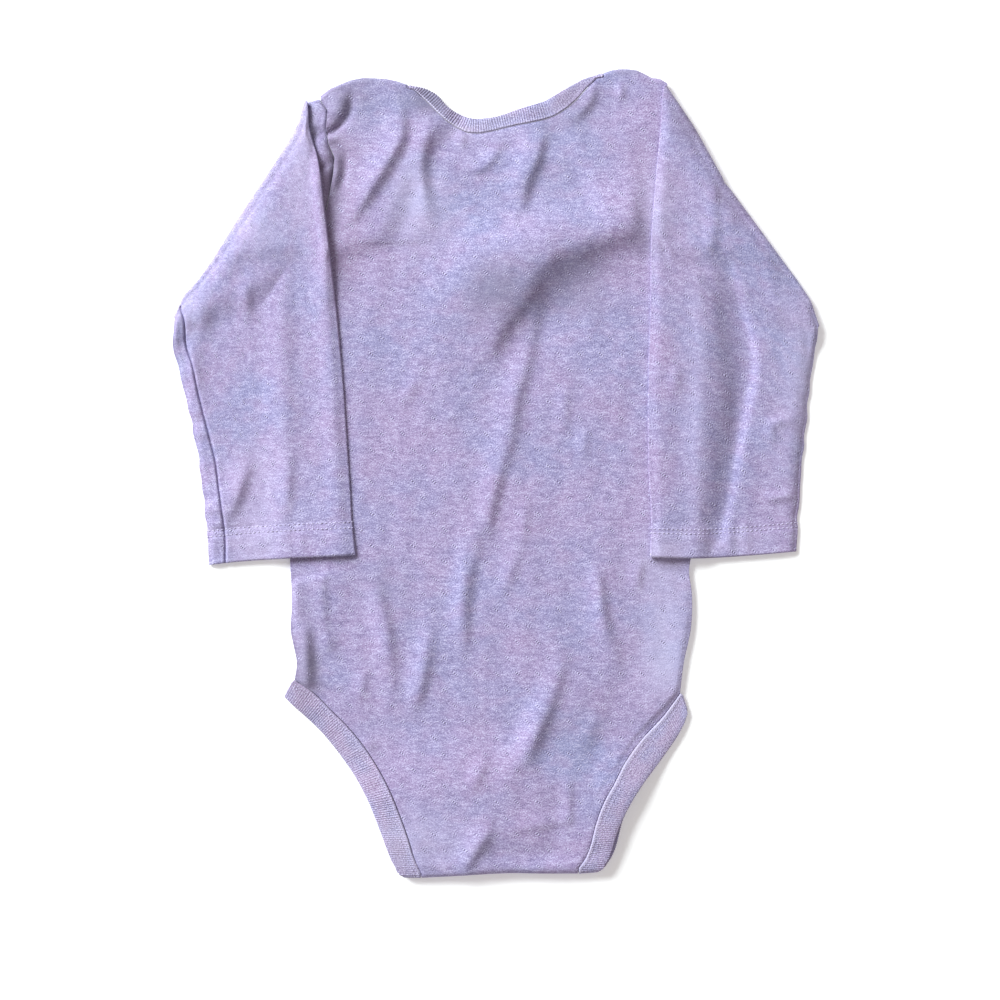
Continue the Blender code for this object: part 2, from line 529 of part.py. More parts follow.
def back_panel_skins():
    """Outer and inner surfaces of the back panel, with its crotch flap and both shoulder flaps."""
    sides = {side: join_lines(smooth_line(LEG_SEAM[side], LEG_ROWS + 1), smooth_line(SIDE_SEAM[side], SIDE_ROWS + 1),
                              armhole_line(side)) for side in SIDES}
    columns = column_shares(SHOULDER_COLUMNS, NECK_COLUMNS)
    last = len(columns) - 1
    top = join_lines(smooth_line(SHOULDER_FOLD["left"], SHOULDER_COLUMNS + 1),
                     smooth_line(BACK_NECK_SEAM, NECK_COLUMNS + 1),
                     smooth_line(SHOULDER_FOLD["right"], SHOULDER_COLUMNS + 1))
    bottom = smooth_line(CROTCH_FOLD, last + 1)
    ears = {"left": range(0, SHOULDER_COLUMNS + 1), "right": range(last - SHOULDER_COLUMNS, last + 1)}
    for ear in ears.values():
        top[list(ear), 1] -= SHOULDER_BEND + WALL / 2
    bottom[:, 1] += CROTCH_BEND + WALL / 2
    for side, column in (("left", 0), ("right", last)):
        sides[side][0] = bottom[column]
        sides[side][-1] = top[column]
    bottom_share, top_share = panel_rows(LEG_ROWS, SIDE_ROWS, ARMHOLE_ROWS)
    plan = patch(sides["left"], sides["right"], bottom, top, columns, bottom_share, top_share)
    floor = back_floor(plan[..., 0], plan[..., 1])
    rows = plan.shape[0]
    outer, inner = {}, {}
    for row in range(rows):
        for column in range(last + 1):
            outer[column, row] = point3(plan[row, column], floor[row, column] + WALL)
            inner[column, row] = point3(plan[row, column], floor[row, column])
    up, down = np.array([0.0, 1.0]), np.array([0.0, -1.0])
    for side, ear in ears.items():
        edge, corner = (0, SHOULDER_COLUMNS) if side == "left" else (last, last - SHOULDER_COLUMNS)
        free = smooth_line([plan[-1, corner], *LAP_EDGE[side][1:]], LAP_ROWS + 1)
        for column in ear:
            share = abs(column - edge) / SHOULDER_COLUMNS
            start, level = plan[-1, column], floor[-1, column] + WALL / 2
            bend = bend_points(start, up, level, floor[-1, column] / 2, BEND_STEPS)
            for step, pair in enumerate(bend):
                outer[column, rows + step], inner[column, rows + step] = pair
            bow = start - (plan[-1, edge] * (1 - share) + plan[-1, corner] * share)
            for step in range(1, LAP_ROWS + 1):
                spot = plan[-1 - step, edge] * (1 - share) + free[step] * share + bow * (1 - step / LAP_ROWS)
                key = (column, rows + BEND_STEPS - 1 + step)
                outer[key], inner[key] = point3(spot, 0.0), point3(spot, WALL)
    for column in range(last + 1):
        level = floor[0, column] + WALL / 2
        bend = bend_points(plan[0, column], down, level, floor[0, column] / 2, BEND_STEPS)
        for step, pair in enumerate(bend, start=1):
            outer[column, -step], inner[column, -step] = pair
        for step in range(1, TUCK_ROWS + 1):
            key = (column, -BEND_STEPS - step)
            height = float(flap_floor(plan[step, column][1]))
            outer[key] = point3(plan[step, column], height)
            inner[key] = point3(plan[step, column], height + WALL)
    return outer, inner, ears, rows, last


# --- front panel ----------------------------------------------------------------------------------------------------
def front_panel_skins():
    """Lower and upper surfaces of the front panel."""
    leg_rows = round(LEG_ROWS * FRONT_SHARE)
    side_rows = round(SIDE_ROWS * FRONT_SHARE)
    shoulder_columns = round(SHOULDER_COLUMNS * FRONT_SHARE)
    neck_columns = round(NECK_COLUMNS * FRONT_SHARE) + 2
    sides = {side: join_lines(smooth_line(FRONT_LEG_SEAM[side], leg_rows + 1),
                              smooth_line(SIDE_SEAM[side], side_rows + 1), armhole_line(side)[:-1]) for side in SIDES}
    columns = column_shares(shoulder_columns, neck_columns)
    left_ear = smooth_line([sides["left"][-1], *FRONT_EAR_TOP["left"]], shoulder_columns + 1)
    right_ear = smooth_line([*FRONT_EAR_TOP["right"], sides["right"][-1]], shoulder_columns + 1)
    top = join_lines(left_ear, smooth_line(FRONT_NECK_SEAM, neck_columns + 1), right_ear)
    bottom = smooth_line(FRONT_HEM, len(columns))
    bottom_share, top_share = panel_rows(leg_rows, side_rows, ARMHOLE_ROWS - 1)
    plan = patch(sides["left"], sides["right"], bottom, top, columns, bottom_share, top_share)
    floor = front_floor(plan[..., 0], plan[..., 1])
    lower, upper = {}, {}
    for row in range(plan.shape[0]):
        for column in range(len(columns)):
            lower[column, row] = point3(plan[row, column], floor[row, column])
            upper[column, row] = point3(plan[row, column], floor[row, column] + WALL)
    counts = {"leg": leg_rows, "rows": plan.shape[0], "ear": shoulder_columns, "last": len(columns) - 1}
    return lower, upper, counts


# --- bindings -------------------------------------------------------------------------------------------------------
class BandSection(NamedTuple):
    """One section of a binding: the panel's edge points, its reach out from them, and how far its face is raised."""

    face: np.ndarray
    back: np.ndarray
    reach: np.ndarray
    lift: float


def band_ring(section):
    """The rounded outline of a binding at one section."""
    width = np.linalg.norm(section.reach)
    away = section.reach / width
    normal = section.face - section.back
    normal = normal / np.linalg.norm(normal)
    face = section.face + normal * section.lift
    middle = (face + section.back) / 2
    return [face + away * GAP, face + away * (width - RIB_ROUND), middle + away * width,
            section.back + away * (width - RIB_ROUND), section.back + away * GAP]


def flat(vector):
    """A plan vector as one in space."""
    return np.array([vector[0], vector[1], 0.0])


def neck_binding_sections(outer, inner, ears, rows, last):
    """Sections of the back neck binding: up one flap's edge, over the shoulder, along the neckline and down."""
    edge_out = smooth_line(BACK_NECK_OUTER, NECK_COLUMNS + 1)
    flaps = {}
    for side, corner in (("left", 0), ("right", NECK_COLUMNS)):
        column = ears[side][-1] if side == "left" else ears[side][0]
        over = edge_out[corner] - np.array(BACK_NECK_SEAM[corner and -1])
        lap = np.array([-SIDES[side], -LAP_BINDING_LEAN])
        lap = lap / np.linalg.norm(lap) * NECK_BINDING_WIDTH
        flaps[side] = []
        for step in range(-1, BEND_STEPS + LAP_ROWS):
            turn = ease((step - 1.0) / BEND_STEPS)
            key = (column, rows + step)
            flaps[side].append(BandSection(outer[key], inner[key], flat(over * (1 - turn) + lap * turn), 0.0))
    neck = []
    first = ears["left"][-1]
    for number in range(1, NECK_COLUMNS):
        key = (first + number, rows - 1)
        swell = ease(min(number, NECK_COLUMNS - number) / 3.0)
        neck.append(BandSection(outer[key], inner[key], flat(edge_out[number] - outer[key][:2]), RIB_LIFT * swell))
    return list(reversed(flaps["left"])) + neck + flaps["right"]


def front_neck_sections(lower, upper, counts):
    """Sections of the front neck binding, along the front's neckline."""
    sections = []
    row = counts["rows"] - 1
    edge = range(counts["ear"], counts["last"] - counts["ear"] + 1)
    line = np.array([lower[column, row][:2] for column in edge])
    away = plan_normals(line, (0.0, FAR))
    for number, column in enumerate(edge):
        spread = flat(away[number] * NECK_BINDING_WIDTH)
        sections.append(BandSection(upper[column, row], lower[column, row], spread, 0.0))
    return sections


def leg_binding_sections(side, skins, front):
    """Sections of a leg binding: up the back from the tucked flap, over the hip and down the front."""
    outer, inner, _, _, last = skins
    lower, upper, counts = front
    column = 0 if side == "left" else last
    front_column = 0 if side == "left" else counts["last"]
    sign = SIDES[side]
    edge_out = smooth_line(LEG_OUTER[side], LEG_ROWS + 1)
    start_reach = edge_out[0] - outer[column, 0][:2]
    sections = []
    for step in range(BEND_STEPS + TUCK_ROWS, 0, -1):
        key = (column, -step)
        sections.append(BandSection(outer[key], inner[key], flat(start_reach * TUCKED_BINDING_SHARE), 0.0))
    for row in range(LEG_ROWS + 1):
        key = (column, row)
        reach = flat(edge_out[row] - outer[key][:2])
        swell = ease(min(row, LEG_ROWS - row) / 2.0)
        sections.append(BandSection(outer[key], inner[key], reach, RIB_LIFT * swell))
    front_row = counts["leg"]
    reach = sections[-1].reach
    travel = np.array([sign * abs(reach[1]), -sign * reach[0] * np.sign(-reach[1]), 0.0])
    travel = travel / np.linalg.norm(travel)
    above = (outer[column, LEG_ROWS] + inner[column, LEG_ROWS]) / 2
    below = (lower[front_column, front_row] + upper[front_column, front_row]) / 2
    centre, radius = (above + below) / 2, (above - below)[2] / 2
    for step in range(1, BEND_STEPS):
        angle = math.pi * step / BEND_STEPS
        away = travel * math.sin(angle) + np.array([0.0, 0.0, math.cos(angle)])
        face, back = centre + away * (radius + WALL / 2), centre + away * (radius - WALL / 2)
        sections.append(BandSection(face, back, reach, 0.0))
    line = np.array([lower[front_column, row][:2] for row in range(front_row + 1)])
    away = plan_normals(line, (sign * FAR, -FAR))
    for row in range(front_row, -1, -1):
        key = (front_column, row)
        share = ease((front_row - row) / 2.0)
        spread = reach * (1 - share) + flat(away[row] * FRONT_LEG_BINDING_WIDTH) * share
        sections.append(BandSection(lower[key], upper[key], spread, 0.0))
    return sections


# --- sleeves --------------------------------------------------------------------------------------------------------
def sleeve_rings(side):
    """Outer and inner rings of a sleeve, from its armhole over its fold and down to its cuff."""
    sign = SIDES[side]
    share = np.linspace(0.0, 1.0, ARMHOLE_ROWS + 1)
    fold = smooth_line(SLEEVE_FOLD_LINE[side], ARMHOLE_ROWS + 1)
    fold_away = plan_normals(fold, (sign * FAR, FAR))
    armhole = armhole_line(side)[::-1]
    armhole_away = plan_normals(armhole, (sign * FAR, 0.0))
    armhole = armhole + armhole_away * GAP
    first_top = back_floor(armhole[:, 0], armhole[:, 1], folded=False)
    bend_rest = under_sleeve(side, fold[:, 0], fold[:, 1])
    middle_first = np.full(len(share), SLEEVE_HALF)
    middle_second = np.maximum(bend_rest + SLEEVE_HALF, middle_first + 2 * MIN_FOLD_ROUND)
    radius = (middle_second - middle_first) / 2
    tip = np.minimum(1.0, SHOULDER_TIGHTNESS + share / SHOULDER_TIP_SHARE)
    axis = fold - fold_away * ((radius + SLEEVE_HALF) * tip)[:, None]
    axis[0, 1] -= SHOULDER_TIP_DROP
    # the upper, visible part
    inner_edge = smooth_line(SLEEVE_INNER[side], SLEEVE_ROWS + 1)
    outer_edge = smooth_line(SLEEVE_OUTER[side], SLEEVE_ROWS + 1)
    inner_edge = inner_edge + plan_normals(inner_edge, (sign * FAR, 0.0)) * SLEEVE_HALF
    outer_edge = outer_edge + plan_normals(outer_edge, (0.0, 0.0)) * SLEEVE_HALF
    inner_edge[0], outer_edge[0] = axis[0], axis[-1]
    cuff = smooth_line(CUFF_END[side], ARMHOLE_ROWS + 1)
    cuff[0], cuff[-1] = inner_edge[-1], outer_edge[-1]
    step = np.linspace(0.0, 1.0, SLEEVE_ROWS + 1)
    plan = patch(inner_edge, outer_edge, axis, cuff, share, (1 - step) ** FOLD_SHARPNESS, step ** CUFF_SHARPNESS)
    rest = under_sleeve(side, plan[..., 0], plan[..., 1])
    from_fold = ease(step / SLEEVE_SWELL_SHARE)[:, None]
    from_edges = ease(np.minimum(share, 1 - share) / SLEEVE_SWELL_SHARE)[None, :]
    puff = SLEEVE_PUFF * np.sin(np.pi * share)[None, :] ** SLEEVE_FULLNESS * (1 - CUFF_FLATNESS * step[:, None])
    raised = (puff + fold_height(plan[..., 0], plan[..., 1], SLEEVE_FOLDS[side]) * from_edges) * from_fold
    lengths = np.linalg.norm(plan - plan[-1][None], axis=2)
    hem = HEM_LIFT * ease((HEM_DEPTH - lengths) / HEM_STEP + 0.5)
    rings = []
    for row in range(HIDDEN_SLEEVE_STEPS + 1):
        part = row / HIDDEN_SLEEVE_STEPS
        line = armhole * (1 - part) + axis * part
        room = SLEEVE_ROOM + (first_top - WALL - GAP) / 2 * (1 - part)
        middles = [point3(line[number], middle_first[number] + room[number] - SLEEVE_ROOM)
                   for number in range(len(share))]
        aways = [np.array([0.0, 0.0, -1.0])] * len(share)
        rings.append((middles, aways, room, np.zeros(len(share)), np.zeros(len(share))))
    for number_step in range(1, BEND_STEPS):
        angle = math.pi * number_step / BEND_STEPS
        middles, aways = [], []
        for number in range(len(share)):
            out = fold_away[number] * tip[number]
            spot = axis[number] + out * radius[number] * math.sin(angle)
            level = middle_first[number] + radius[number] * (1 - math.cos(angle))
            middles.append(point3(spot, level))
            aways.append(np.array([*(out * math.sin(angle)), -math.cos(angle)]))
        rings.append((middles, aways, np.full(len(share), SLEEVE_ROOM), np.zeros(len(share)), np.zeros(len(share))))
    for row in range(SLEEVE_ROWS + 1):
        level = rest[row] + SLEEVE_HALF
        settle = ease(step[row] / SLEEVE_SETTLE_SHARE)
        level = level * settle + np.maximum(level, middle_second) * (1 - settle)
        middles = [point3(plan[row, number], level[number]) for number in range(len(share))]
        aways = [np.array([0.0, 0.0, 1.0])] * len(share)
        rings.append((middles, aways, np.full(len(share), SLEEVE_ROOM), raised[row], hem[row]))
    return [tube_ring(*ring) for ring in rings]


def tube_ring(middles, aways, room, raised, hem):
    """Outer and inner outlines of a flattened tube at one ring, from the middle line between its two walls."""
    outer, inner = [], []
    count = len(middles)
    for number in range(count):
        outer.append(middles[number] + aways[number] * (room[number] + raised[number] + WALL + hem[number]))
        inner.append(middles[number] + aways[number] * (room[number] + raised[number]))
    for angle in (45.0, 90.0, 135.0):
        add_edge_point(outer, inner, middles[-1], middles[-1] - middles[-2], aways[-1], room[-1], angle)
    for number in range(count - 1, -1, -1):
        outer.append(middles[number] - aways[number] * (room[number] + WALL))
        inner.append(middles[number] - aways[number] * room[number])
    for angle in (135.0, 90.0, 45.0):
        add_edge_point(outer, inner, middles[0], middles[0] - middles[1], aways[0], room[0], angle)
    return outer, inner


def add_edge_point(outer, inner, middle, outward, away, room, degrees):
    """Adds one point of the rounded edge where a tube's two walls meet."""
    out = outward - away * (outward @ away)
    out = out / np.linalg.norm(out)
    angle = math.radians(degrees)
    direction = away * math.cos(angle) + out * math.sin(angle)
    outer.append(middle + direction * (room * abs(math.cos(angle)) + SLEEVE_ROOM * math.sin(angle) + WALL))
    inner.append(middle + direction * (room * abs(math.cos(angle)) + SLEEVE_ROOM * math.sin(angle)) * EDGE_HOLLOW)


# --- snaps ----------------------------------------------------------------------------------------------------------
def snap_disc(name, across, bottom, radius, height, finish):
    """One disc of a snap, at its place across the garment and with its underside at a height."""
    tool = bmesh.new()
    middle = Vector((across * METRES, SNAP_ROW * METRES, (bottom + height / 2) * METRES))
    disc = bmesh.ops.create_cone(tool, cap_ends=True, segments=SNAP_SIDES, radius1=radius * METRES,
                                 radius2=radius * METRES, depth=height * METRES)
    bmesh.ops.translate(tool, verts=disc["verts"], vec=middle)
    return add_object(name, tool, finish)


# --- assembly -------------------------------------------------------------------------------------------------------
def centre_on_floor(pieces):
    """Moves every piece's mesh so that the box round them all stands on z = 0 about the origin."""
    corners = np.array([vertex.co[:] for piece in pieces for vertex in piece.data.vertices])
    low, high = corners.min(axis=0), corners.max(axis=0)
    shift = Vector((-(low[0] + high[0]) / 2, -(low[1] + high[1]) / 2, -low[2]))
    for piece in pieces:
        for vertex in piece.data.vertices:
            vertex.co += shift


def main():
    """Builds every piece of the bodysuit."""
    for item in list(bpy.data.objects):
        bpy.data.objects.remove(item, do_unlink=True)
    jersey = cloth_material("jersey", HEATHER_LILAC, CLOTH_ROUGHNESS)
    rib = cloth_material("rib", RIB_PINK, CLOTH_ROUGHNESS)
    snap_plastic = cloth_material("snap", SNAP_WHITE, SNAP_ROUGHNESS)
    pieces = []

    back = back_panel_skins()
    pieces.append(wall_solid("back_panel", back[0], back[1], jersey))
    front = front_panel_skins()
    pieces.append(wall_solid("front_panel", front[1], front[0], jersey))
    for side in SIDES:
        rings = sleeve_rings(side)
        pieces.append(tube_solid("sleeve_" + side, [ring[0] for ring in rings], [ring[1] for ring in rings], jersey))
        bands = leg_binding_sections(side, back, front)
        pieces.append(loft_solid("leg_binding_" + side, [band_ring(section) for section in bands], rib))
    neck = neck_binding_sections(*back)
    pieces.append(loft_solid("neck_binding_back", [band_ring(section) for section in neck], rib))
    front_neck = front_neck_sections(*front)
    pieces.append(loft_solid("neck_binding_front", [band_ring(section) for section in front_neck], rib))
    for place_name, offset in (("left", -1), ("middle", 0), ("right", 1)):
        across = SNAP_MIDDLE + offset * SNAP_SPACING
        pieces.append(snap_disc("snap_cap_" + place_name, across, 0.0, SNAP_CAP_RADIUS, SNAP_CAP_HEIGHT,
                                snap_plastic))
        pieces.append(snap_disc("snap_socket_" + place_name, across, TAB_LIFT + WALL + GAP, SNAP_SOCKET_RADIUS,
                                SNAP_SOCKET_HEIGHT, snap_plastic))
    centre_on_floor(pieces)


main()
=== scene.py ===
"""Looks of a baby's long-sleeved bodysuit, laid flat with its back up and its sleeves folded down.

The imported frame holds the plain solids.  Here each cloth piece gets a finer wall on the same form, with
its smaller creases, seams and ribs, and each surface gets its knit, thread or plastic.  X runs across the
garment, Y from crotch to neck and Z up from the surface it lies on.  Sizes are in millimetres and become
metres when a mesh is made.
"""

import logging
import math
from dataclasses import dataclass, field
from enum import Enum
from typing import NamedTuple, Optional, Sequence

import bmesh
import bpy
import numpy as np
from mathutils import Matrix, Vector, noise


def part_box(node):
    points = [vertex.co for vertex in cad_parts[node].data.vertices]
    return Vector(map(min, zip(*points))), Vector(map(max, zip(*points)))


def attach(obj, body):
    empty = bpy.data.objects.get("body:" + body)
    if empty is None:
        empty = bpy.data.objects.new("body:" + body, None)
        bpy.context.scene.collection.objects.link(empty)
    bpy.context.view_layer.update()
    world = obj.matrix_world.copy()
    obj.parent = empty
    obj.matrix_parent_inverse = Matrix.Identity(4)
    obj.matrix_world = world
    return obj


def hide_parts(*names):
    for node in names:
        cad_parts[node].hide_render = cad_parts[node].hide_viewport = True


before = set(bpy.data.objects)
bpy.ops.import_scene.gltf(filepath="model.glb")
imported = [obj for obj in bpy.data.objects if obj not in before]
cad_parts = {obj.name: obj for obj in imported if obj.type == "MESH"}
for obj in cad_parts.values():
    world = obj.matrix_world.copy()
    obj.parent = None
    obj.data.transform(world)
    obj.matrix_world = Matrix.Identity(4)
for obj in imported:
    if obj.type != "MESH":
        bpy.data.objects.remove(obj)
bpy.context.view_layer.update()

LOG = logging.getLogger("bodysuit")
Array = np.ndarray
METRES = 0.001                  # metres in a millimetre
COARSE = 12                     # points in the plain copies of edges from which heights are worked out
FINENESS = 16                   # points that a smooth curve is first given for each of its stations
FAR = 400.0                     # outside the garment, to tell an edge's two sides
RIB_COLOUR_PITCH = 1.15         # flat width of a rib, which the binding's mesh and its colour share
CAD_ARMHOLE = 11                # steps from underarm to shoulder in the plain solids


class Side(Enum):
    """The two sides of the garment, as seen from above its back."""

    LEFT = -1.0
    RIGHT = 1.0

    @property
    def label(self) -> str:
        """The side's name in lower case."""
        return self.name.lower()


class Station(NamedTuple):
    """A point that an edge or a crease runs through."""

    across: float
    along: float


class Crease(NamedTuple):
    """One soft ridge, or a trough if its height is below zero."""

    course: Sequence[Station]
    height: float
    near: float         # spread of the flank on the left of the course, read from its first point
    far: float          # spread of the other flank


class Inset(NamedTuple):
    """A distance that changes along an edge: how much it is at a share of the way."""

    share: float
    distance: float


class Patch(NamedTuple):
    """One soft spot of tint on the cloth, which in some tables is painted light and shade."""

    across: float
    along: float
    reach_across: float
    reach_along: float
    amount: float


class Wave(NamedTuple):
    """One size of the gentle unevenness of cloth that nobody has pressed."""

    height: float
    squash: float       # places along the garment are multiplied by this, so it is longer that way
    size: float
    seed: float


Edge = tuple[Station, ...]


@dataclass(frozen=True)
class BothSides:
    """An edge on the left and its counterpart on the right, which differ as the garment lies."""

    left: Edge
    right: Edge

    def __getitem__(self, side: Side) -> Edge:
        """The edge on one side."""
        return self.left if side is Side.LEFT else self.right


def stations(*pairs: tuple[float, float]) -> Edge:
    """Edge table: a row for each point, with its place across and along the garment."""
    return tuple(Station(*pair) for pair in pairs)


def crease(height: float, near: float, far: float, *course: tuple[float, float]) -> Crease:
    """Crease table's row: a height, the spread of each flank and the points that the crease runs through."""
    return Crease(stations(*course), height, near, far)


def patches(*rows: tuple[float, float, float, float, float]) -> tuple[Patch, ...]:
    """Tint table: a row for each patch, with its middle, its reach both ways and its amount."""
    return tuple(Patch(*row) for row in rows)


def insets(*rows: tuple[float, float]) -> tuple[Inset, ...]:
    """Inset table: a row for each share of the way along an edge, with the distance there."""
    return tuple(Inset(*row) for row in rows)


# --- curves and surfaces --------------------------------------------------------------------------
def smooth_line(table: Sequence[Station], count: int) -> Array:
    """Points evenly spaced along a smooth curve through a table's stations.

    Args:
        table: the stations that the curve runs through.
        count: how many points are wanted.

    Returns:
        The points, as rows of (across, along).
    """
    knots = np.array(table, dtype=float)
    chord = np.concatenate([[0.0], np.cumsum(np.linalg.norm(np.diff(knots, axis=0), axis=1))])
    slope = np.gradient(knots, chord, axis=0)
    reach = np.linspace(0.0, chord[-1], FINENESS * len(knots))
    start = np.clip(np.searchsorted(chord, reach, side="right") - 1, 0, len(chord) - 2)
    length = (chord[start + 1] - chord[start])[:, None]
    part = (reach - chord[start])[:, None] / length
    fine = (knots[start] * (2 * part ** 3 - 3 * part ** 2 + 1)
            + slope[start] * length * (part ** 3 - 2 * part ** 2 + part)
            + knots[start + 1] * (3 * part ** 2 - 2 * part ** 3)
            + slope[start + 1] * length * (part ** 3 - part ** 2))
    return walk(fine, np.linspace(0.0, 1.0, count))


def walk(line: Array, shares: Array) -> Array:
    """Points at shares of the way along a line of points.

    Args:
        line: points, one a row.
        shares: where the new points lie, from 0 to 1 of the line's length.

    Returns:
        The new points, one a row.
    """
    walked = np.concatenate([[0.0], np.cumsum(np.linalg.norm(np.diff(line, axis=0), axis=1))])
    place = shares * walked[-1]
    return np.stack([np.interp(place, walked, line[:, axis]) for axis in range(line.shape[1])], axis=-1)


def join_lines(*lines: Array) -> Array:
    """One edge from lines that meet end to end."""
    return np.concatenate([lines[0]] + [line[1:] for line in lines[1:]])


def plan_normals(line: Array, towards: tuple[float, float]) -> Array:
    """Unit normals of a line in plan, on the side of a point.

    Args:
        line: points in plan, one a row.
        towards: a point on the side that the normals are wanted on.

    Returns:
        A unit vector for each point of the line.
    """
    tangent = np.gradient(line, axis=0)
    normal = np.stack([-tangent[:, 1], tangent[:, 0]], axis=1)
    normal /= np.linalg.norm(normal, axis=1)[:, None]
    flip = np.sign(np.sum(normal * (np.array(towards) - line), axis=1))
    return normal * np.where(flip == 0, 1, flip)[:, None]


def ease(value: Array) -> Array:
    """Smooth step from 0 to 1."""
    part = np.clip(value, 0.0, 1.0)
    return part * part * (3.0 - 2.0 * part)


def hump(distance: Array, spread: Array) -> Array:
    """Bell shape: 1 on the line, and next to nothing two spreads away."""
    return np.exp(-(distance / spread) ** 2)


def patch(first: Array, last: Array, start: Array, end: Array, share: Array, start_pull: Array,
          end_pull: Array) -> Array:
    """Grid of plan points between two side edges, whose end rows take the shapes of two cross edges.

    Args:
        first: the side edge where share is 0, with a point for each row.
        last: the side edge where share is 1, with a point for each row.
        start: the cross edge at the first row, with a point for each column of that row.
        end: the cross edge at the last row, likewise.
        share: each point's share of the way over, by row and column.
        start_pull: how far each row takes the first row's shape.
        end_pull: how far each row takes the last row's shape.

    Returns:
        The points, by row and column.
    """
    over = share[..., None]
    grid = first[:, None, :] * (1 - over) + last[:, None, :] * over
    start_off = start - (first[0] * (1 - over[0]) + last[0] * over[0])
    end_off = end - (first[-1] * (1 - over[-1]) + last[-1] * over[-1])
    return grid + start_pull[:, None, None] * start_off[None] + end_pull[:, None, None] * end_off[None]


def kept_above(height: Array, lowest: Array, soft: float = 0.5) -> Array:
    """A height that flattens out softly, from a little above another, instead of going below it."""
    spare = height - lowest
    return lowest + np.where(spare > soft, spare, np.maximum(spare + soft, 0.0) ** 2 / (4.0 * soft))


def line_distance(across: Array, along: Array, line: Array) -> tuple[Array, Array]:
    """Distance of points from a line in plan.

    Args:
        across: the points' places across the garment.
        along: the points' places along it.
        line: the line's points, one a row.

    Returns:
        The distance, above zero on the line's left as it runs, and the share of the way along the line.
    """
    best = np.full(np.shape(across), np.inf)
    side = np.ones(np.shape(across))
    share = np.zeros(np.shape(across))
    count = len(line) - 1
    for number in range(count):
        origin, step = line[number], line[number + 1] - line[number]
        off_x, off_y = across - origin[0], along - origin[1]
        part = np.clip((off_x * step[0] + off_y * step[1]) / (step @ step), 0.0, 1.0)
        distance = np.hypot(off_x - part * step[0], off_y - part * step[1])
        nearer = distance < best
        best = np.where(nearer, distance, best)
        side = np.where(nearer, np.where(step[0] * off_y - step[1] * off_x >= 0, 1.0, -1.0), side)
        share = np.where(nearer, (number + part) / count, share)
    return best * side, share


def crease_height(across: Array, along: Array, creases: Sequence[Crease]) -> Array:
    """Height that a table of creases adds at each point.

    Args:
        across: the points' places across the garment.
        along: the points' places along it.
        creases: the creases, each with its course, height and spreads.

    Returns:
        The height at each point.
    """
    end_share, fullness, reach = 0.25, 0.7, 3.2
    total = np.zeros(np.shape(across))
    for fold in creases:
        line = smooth_line(fold.course, COARSE)
        border = reach * max(fold.near, fold.far)
        low, high = line.min(axis=0) - border, line.max(axis=0) + border
        near = (across > low[0]) & (across < high[0]) & (along > low[1]) & (along < high[1])
        distance, share = line_distance(across[near], along[near], line)
        spread = np.where(distance > 0, fold.near, fold.far)
        rise = end_share + (1.0 - end_share) * np.sin(np.pi * share) ** fullness
        total[near] += fold.height * hump(distance, spread) * rise
    return total


def wander(across: Array, along: Array, size: float, seed: float) -> Array:
    """Unevenness of unpressed cloth, of about -1 to 1, in waves of a size; the seed picks one of many."""
    flat = zip(np.ravel(across) / size, np.ravel(along) / size)
    return np.array([noise.noise(Vector((x, y, seed))) for x, y in flat]).reshape(np.shape(across))


def unevenness(across: Array, along: Array, waves: Sequence[Wave], turned: float = 1.0) -> Array:
    """The height that several sizes of waves add; turned is -1 for the other of two alike surfaces."""
    return sum(wave.height * wander(across, along * wave.squash, wave.size, wave.seed * turned)
               for wave in waves)


def drift(place: Array, size: float, strand: float, seed: float) -> Array:
    """Smooth noise of about -1 to 1 along a line, in waves of a size; strand and seed pick one of many."""
    return np.array([noise.noise(Vector((spot / size, strand, seed))) for spot in place])


